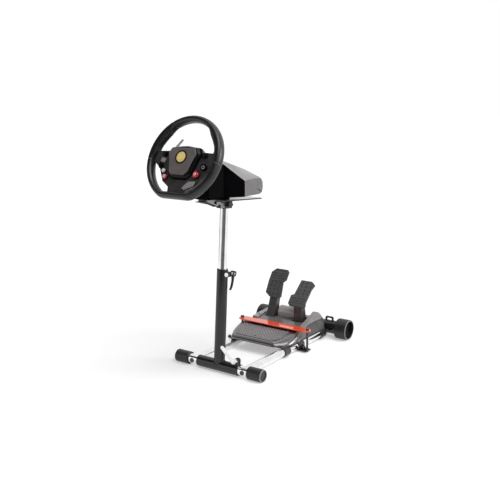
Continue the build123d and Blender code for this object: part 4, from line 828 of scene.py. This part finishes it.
def heelPanel(look):
    # rings from a foot outline to a top outline, both rounded by a running average along the foot; the wall
    # is an elliptic arc from one to the other, its upper edge a quarter round, and the top lies on the plane
    # z = z0 + (y - y0) * tan(slope)
    corners = np.array(look["outline"], float)
    ahead = np.roll(corners, -1, axis=0) - corners
    length = np.hypot(ahead[:, 0], ahead[:, 1])
    around = np.linspace(0, length.sum(), look["steps"], endpoint=False)
    at = around[:, None] + np.linspace(-1, 1, 15) * look["window"]
    reach = np.cumsum(length) - length
    fx, fy, tx, ty = (np.interp(at, reach, c, period=length.sum()).mean(1) for c in corners.T)
    e, rise = look["edge"], np.tan(radians(look["slope"]))
    midX, midY = look["middle"]
    rows = [(midX + 0 * fx, midY + 0 * fx, look["foot"] + 0 * fx)]
    for a in np.linspace(0, look["sweep"], 9):
        u, v = (1 - cos(a)) / (1 - cos(look["sweep"])), sin(a) / sin(look["sweep"])
        x, y = fx + u * (tx - fx), fy + u * (ty - fy)
        rows.append((x, y, look["foot"] + v * (look["z"] - e + (y - look["ahead"]) * rise - look["foot"])))
    off = np.hypot(tx - midX, ty - midY)
    shares = [(1 - back / off, up - e) for back, up in quarter(e, 7)[1:]]
    shares += [(s, 0) for s in (0.7, 0.35, 0)]
    for share, drop in shares:
        x, y = midX + share * (tx - midX), midY + share * (ty - midY)
        rows.append((x, y, look["z"] + drop + (y - look["ahead"]) * rise))
    pts = np.array([np.stack(row, 1) for row in rows])
    shell = Shell().add(worldSpot.at(pts[..., 0], frontY + pts[..., 1], pts[..., 2]))
    shell.piece("heelPanel", "frame", "plastic_mid", crease=40, finish="heel_gloss")


# one pedal base in two shades: paler behind, painted light on its top and right wall; the heel panel in front
# darker, painted shade on its front wall
softened("pedal_base", "plastic_mid", 3.5, finish="base_grey", reshape=leaned, behind=frontY + heel["back"])
heelPanel(heel)

plain = {
    "steel_fastener": ["hold_down_rods", "tilt_bolt", "pedal_pins", "steering_shaft"],
    "plastic_black": ["mast_head"],
}
for slot, names in plain.items():
    for name in names:
        nodes[name].data.materials.clear()
        nodes[name].data.materials.append(finishes[slot])
print("stand: straps, caps and levers")

# stand: round tubes

tubes = dict(straight=dict(front_tube=("chrome_tube", (1, 0, 0), 17.0),
                           rear_tube=("black_tube", (1, 0, 0), 26.0),
                           rail_left=("chrome_tube", (0, 1, 0), 15.0),
                           rail_right=("chrome_tube", (0, 1, 0), 15.0)),
             wall=2.0, mast=15.0, post=19.0, postWall=2.5, sleeve=19.75, bore=17.35, sides=96,
             sink=1.2, lip=0.6, bead=1.7, beadOff=0.3)


def roundTubes(look):
    for node, (slot, along, radius) in look["straight"].items():
        spot = Spot(middle(node) * mm, along, (0, 0, 1))
        wall = pipe(spot, *spanAlong(node, spot), radius, radius - look["wall"], look["sides"])
        Shell().add(wall, wrapRows=True).piece(node + "_round", "frame", slot, replaces=[node])
    span = spanAlong("mast_tube", postSpot)
    mast = pipe(postSpot, *span, look["mast"], look["mast"] - look["wall"], look["sides"])
    Shell().add(mast, wrapRows=True).piece("mast_round", "mast", "chrome_tube", replaces=["mast_tube"])


def postTee(look):
    # the sleeve is a pipe across; the post's foot follows the saddle s = sqrt(reach ** 2 - (r * sin(t)) ** 2)
    # on it, and the weld is a small circle carried round that saddle
    across = Spot(postSpot.origin, (1, 0, 0), postSpot.up)
    sleeve = pipe(across, *spanAlong("post_tee", across), look["sleeve"], look["bore"], look["sides"])
    tee = Shell().add(sleeve, wrapRows=True)
    top = spanAlong("post_tee", postSpot)[1]
    t = circle(look["sides"])[:, None]
    outer, inner, lip, bead = look["post"], look["post"] - look["postWall"], look["lip"], look["bead"]
    r = np.array([inner, outer, outer, outer - lip, inner])
    saddle = np.sqrt(np.clip((look["sleeve"] - look["sink"]) ** 2 - (r * np.sin(t)) ** 2, 0, None))
    s = np.where(np.arange(5) < 2, saddle, [0, 0, top - lip, top, top])
    tee.add(postSpot.at(r * np.cos(t), r * np.sin(t), s), wrapRows=True)
    w = circle(12)
    ring = outer + look["beadOff"] + bead * np.cos(w)
    lift = np.sqrt(np.clip(look["sleeve"] ** 2 - (outer * np.sin(t)) ** 2, 0, None)) + bead * np.sin(w)
    tee.add(postSpot.at(ring * np.cos(t), ring * np.sin(t), lift), wrapRows=True)
    tee.piece("post_round", "post", "black_tube", replaces=["post_tee"])


roundTubes(tubes)
postTee(tubes)
print("stand: tubes and weld")

# small fasteners, each seated on what carries it

small = dict(screws=(("pedal_tread", -100.0, 242.0), ("pedal_tread", -17.0, 241.0),
                     ("pedal_base", 74.0, 236.5), ("pedal_cheeks", -104.0, 392.0)), screw=3.4, above=300.0,
             frontBolts=(-107.0, 107.0), frontBolt=8.0, ahead=100.0,
             bracketBolts=((-75.5, 560.0), (-54.0, 548.0)), bracketBolt=5.0, aside=150.0,
             bracketSlotShade=((-64.0, 568.0), (-32.0, 558.5)), bracketSlotWide=4.5,
             knobAt=(-127.0, 232.0, 36.0), knob=6.5, stem=3.0, slit=(0.0, 264.0, 329.0), slitWide=3.0)


def bolt(spot, radius, high, sunk=1.0):
    # a round head with a soft edge and a shallow dish in its top
    edge = min(0.45 * radius, 0.8 * high)
    lip = [(radius - back, high - edge + up) for back, up in quarter(edge, 6)]
    dish = [(0.42 * radius, high), (0.34 * radius, 0.6 * high), (0, 0.6 * high)]
    return turned(spot, [(0, -sunk), (radius, -sunk)] + lip + dish, 40)


def fasteners(look):
    screws = Shell()
    for node, x, y in look["screws"]:
        spot = seated(node, worldSpot.at(x, frontY + y, look["above"]), (0, 0, -1))
        screws.add(bolt(spot, look["screw"], 1.9))
    screws.piece("baseScrews", "frame", "steel_fastener")
    heads = Shell()
    for x in look["frontBolts"]:
        start = worldSpot.at(x, frontY - look["ahead"], middle("front_tube")[2])
        heads.add(bolt(seated("front_tube", start, (0, 1, 0)), look["frontBolt"], 3.6, sunk=3.0))
    heads.piece("tubeBolts", "frame", "steel_fastener")

    def onBracket(q, s):
        return seated("tilt_bracket", postSpot.at(look["aside"], q, s), (-1, 0, 0), (0, 1, 0))

    sides = Shell()
    for q, s in look["bracketBolts"]:
        sides.add(bolt(onBracket(q, s), look["bracketBolt"], 3.2))
    sides.piece("bracketBolts", "head", "steel_fastener", finish="deep_black")
    # a near-black ridge along the bracket: painted shade standing for the dark of its slot
    (q0, s0), (q1, s1) = look["bracketSlotShade"]
    across = np.dot(onBracket(q0, s0).origin - postSpot.origin, postSpot.right) / mm
    side = postSpot.facing(across, 0.0, 0.0, (1, 0, 0), (0, 1, 0))
    slot = Shell().add(ridge(side, (q0, s0), (q1, s1), look["bracketSlotWide"], 0.8))
    slot.piece("bracketSlotShade", "head", "bracket_steel", finish="deep_black")
    rail = middle("rail_left")
    away = np.array([look["knobAt"][0] - rail[0], 0.0, look["knobAt"][2] - rail[2]])
    start = np.array([rail[0], frontY + look["knobAt"][1], rail[2]]) + 4 * away
    spot = seated("rail_clips_left", start * mm, -away / np.linalg.norm(away), (0, 1, 0))
    k, st = look["knob"], look["stem"]
    grip = roundCorners([(0, 5), (k, 5), (k, 14), (0, 14)], 2.0)
    clip = Shell().add(turned(spot, [(0, -1), (st, -1), (st, 6), (0, 6)], 32)).add(turned(spot, grip, 40))
    clip.piece("clipKnob", "frame", "strap_black")
    # a near-black ridge down the post: painted shade standing for the dark of its slit
    x, low, high = look["slit"]
    side = postSpot.facing(tubes["post"], x, 0.0, (1, 0, 0), (0, 0, 1))
    slit = Shell().add(ridge(side, (low, 0), (high, 0), look["slitWide"], 0.55))
    slit.piece("postSlitShade", "post", "black_tube", finish="deep_black")


fasteners(small)
print("small fasteners")

# pedals: ribs on the pads and painted shade in their holes, raised lozenges on the tread with painted shade
# between them

pads = dict(
    brake=dict(body="brake_pedal", x=-53.0, y=424.0, z=158.0, lean=29.0, holes=(-14.0, 38.0, 18.0, 15.0),
               ribs=[((-45, 70), (20, 70)), ((-45.5, 80), (25, 80)),
                     ((-44.5, 90), (26, 90)), ((-43, 100), (26, 100))]),
    throttle=dict(body="throttle_pedal", x=53.0, y=388.0, z=148.0, lean=44.0, holes=(18.0, 80.0, 20.0, 16.0),
                  ribs=[((-25, 7), (43, 7)), ((-26, 17), (41, 17)),
                        ((-26.5, 27), (40, 27)), ((-27, 37), (40, 37))]),
    ribWide=6.0, ribHigh=2.6, shadeDisc=2.5, shadeDiscFoot=-4.4, shadeDiscTop=-1.4)


def padFaces(look):
    for name in ("brake", "throttle"):
        pad = look[name]
        lean = radians(pad["lean"])
        spot = Spot(worldSpot.at(pad["x"], frontY + pad["y"], pad["z"]), (0, -cos(lean), sin(lean)))
        ribs = Shell()
        for start, end in pad["ribs"]:
            ribs.add(ridge(spot, start, end, look["ribWide"], look["ribHigh"]))
        ribs.piece(name + "Ribs", pad["body"], "pad_metal")
        # near-black discs sunk in each hole: painted shade standing for the dark inside the holes
        shadeDiscs = Shell()
        x, y, across, up = pad["holes"]
        r, foot, top = look["shadeDisc"], look["shadeDiscFoot"], look["shadeDiscTop"]
        shadeDisc = [(0, foot), (r, foot), (r, top), (0, top)]
        for i in (-1.0, 0.0, 1.0):
            for j in (-1.5, -0.5, 0.5, 1.5):
                shadeDiscs.add(turned(spot.moved(x + i * across, y + j * up), shadeDisc, 20))
        shadeDiscs.piece(name + "HoleShades", pad["body"], "pad_metal", finish="deep_black")


tread = dict(ahead=222.0, z=53.0, slope=10.8, right=84.0, cut=26.0, front=8.0, rear=94.0,
             left=((8, 20, 37, 63, 94), (-97, -105, -113, -119, -123)),  # how its left side runs back
             thick=1.9, raised=1.0, pitch=(13.0, 13.0), border=3.0, cols=220, rows=130)


def treadPlate(look):
    # a thin plate whose top rises where cos(2 pi x / pitch) * cos(2 pi y / pitch) is high, staggered lozenges
    # that fade out towards its border; one corner of the outline is cut off slantwise
    y = np.linspace(look["front"], look["rear"], look["rows"])[:, None]
    edge = look["right"] - np.clip(look["front"] + look["cut"] - y, 0, None)
    left = np.interp(y, *look["left"])
    x = left + np.linspace(0, 1, look["cols"]) * (edge - left)
    wave = np.cos(2 * pi * x / look["pitch"][0]) * np.cos(2 * pi * y / look["pitch"][1])
    off = np.minimum(np.minimum(x - left, edge - x), np.minimum(y - look["front"], look["rear"] - y))
    raised = smoothStep(wave, 0.05, 0.55) * smoothStep(off, 0.3 * look["border"], look["border"])
    top = look["thick"] + look["raised"] * raised
    lean = radians(look["slope"])
    spot = Spot(worldSpot.at(0, frontY + look["ahead"], look["z"]), (0, -sin(lean), cos(lean)))
    pts = np.concatenate([spot.at(x, y, top), spot.at(x[:, ::-1], y, -0.3)], 1)
    plate = Shell().add(pts).piece("treadPlate", "frame", "plastic_mid", crease=50,
                                   replaces=["pedal_tread"], finish="tread_grey")
    # the raised share also drives the tread's painted shade between the lozenges
    perPoint(plate, "raised", np.concatenate([raised, 0 * raised], 1).ravel())


padFaces(pads)
treadPlate(tread)
print("pedals: ribs, holes and tread")

# camera, light and floor

stage = dict(eye=(1480.75, frontY - 1916.81, 923.0), azimuth=35.21, pitch=11.69, focus=748.0 / 500 * 36,
             floor=60.0, white=0.80, lift=0.38, fill=0.24,
             # each lamp: where it stands, the share of white it gives, how wide it is in degrees
             suns=dict(overhead=((0.50, -0.10, 1.0), 0.60, 48.0), rightSide=((0.82, 0.50, 0.24), 0.34, 20.0),
                       leftFront=((-0.9, -0.7, 0.5), 0.04, 50.0)),
             # each card: its two azimuths, its foot and top in mm, its shade
             flags=((-13.0, 71.0, 1.0, 950.0, 0.30), (-75.0, 42.0, 1150.0, 3400.0, 0.08),
                    (-116.0, -76.0, 1.0, 1600.0, 0.25)), flagOff=2200.0)


def studio(look):
    a, e = radians(look["azimuth"]), radians(look["pitch"])
    back = Vector((sin(a) * cos(e), -cos(a) * cos(e), sin(e)))
    camera = placed("camera", bpy.data.cameras.new("camera"))
    camera.data.lens, camera.data.sensor_width = look["focus"], 36
    camera.data.clip_end = 100
    camera.location = Vector(look["eye"]) * mm
    camera.rotation_euler = (-back).to_track_quat("-Z", "Y").to_euler()
    scene.camera = camera
    scene.view_settings.view_transform = "Standard"
    for name, (at, share, wide) in look["suns"].items():
        lamp = bpy.data.lights.new(name, "SUN")
        lamp.energy, lamp.angle = share * pi, radians(wide)
        placed(name, lamp).rotation_euler = Vector(at).to_track_quat("Z", "Y").to_euler()


def seenBy(shading):
    # 1 where the camera, a reflection or a see-through piece looks, 0 for the light that falls on the part
    rays = ("Is Camera Ray", "Is Glossy Ray", "Is Transmission Ray")
    camera, glossy, through = (shading.node("ShaderNodeLightPath", {}, {}, ray) for ray in rays)
    return camera.orElse(glossy).orElse(through)


def sky(look):
    world = bpy.data.worlds.new("studio")
    scene.world = world
    world.use_nodes = True
    shading = Shading(world.node_tree)
    dim = shading.node("ShaderNodeBackground", {}, {"Color": (1, 1, 1), "Strength": look["fill"]})
    bright = shading.node("ShaderNodeBackground", {}, {"Color": (1, 1, 1), "Strength": 1.0})
    mixed = shading.node("ShaderNodeMixShader", {}, {0: seenBy(shading), 1: dim, 2: bright})
    shading.join(world.node_tree.nodes["World Output"].inputs["Surface"], mixed)


def backdrop(name, points, faces):
    mesh = bpy.data.meshes.new(name)
    mesh.from_pydata(points, [], faces)
    paint = bpy.data.materials.new(name)
    paint.use_nodes = True
    paint.node_tree.nodes.remove(paint.node_tree.nodes["Principled BSDF"])
    mesh.materials.append(paint)
    obj = placed(name, mesh)
    return obj, Shading(paint.node_tree), paint.node_tree.nodes["Material Output"].inputs["Surface"]


def floor(look):
    h = look["floor"] / 2
    corners = [(-h, -h, 0), (h, -h, 0), (h, h, 0), (-h, h, 0)]
    _, shading, surface = backdrop("floor", corners, [(0, 1, 2, 3)])
    matt = shading.node("ShaderNodeBsdfDiffuse", {}, {"Color": (look["white"],) * 3})
    glow = shading.node("ShaderNodeEmission", {}, {"Strength": look["lift"] * seenBy(shading)})
    shading.join(surface, shading.node("ShaderNodeAddShader", {}, {0: matt, 1: glow}))


def darkFlags(look):
    # upright dark cards bent round the part, seen only in its reflections, so that polished tube has
    # dark stripes
    for count, (start, end, low, high, shade) in enumerate(look["flags"]):
        turn = np.radians(np.linspace(start, end, 25))[:, None]
        points = worldSpot.at(look["flagOff"] * np.sin(turn), -look["flagOff"] * np.cos(turn), [low, high])
        faces = gridFaces(len(turn), 2, False, False).tolist()
        obj, shading, surface = backdrop(f"darkFlag{count}", points.reshape(-1, 3), faces)
        shading.join(surface, shading.node("ShaderNodeBsdfDiffuse", {}, {"Color": (shade,) * 3}))
        obj.visible_camera = obj.visible_diffuse = obj.visible_shadow = obj.visible_transmission = False


studio(stage)
sky(stage)
floor(stage)
darkFlags(stage)
print("stage: camera, lamps, floor and flags")
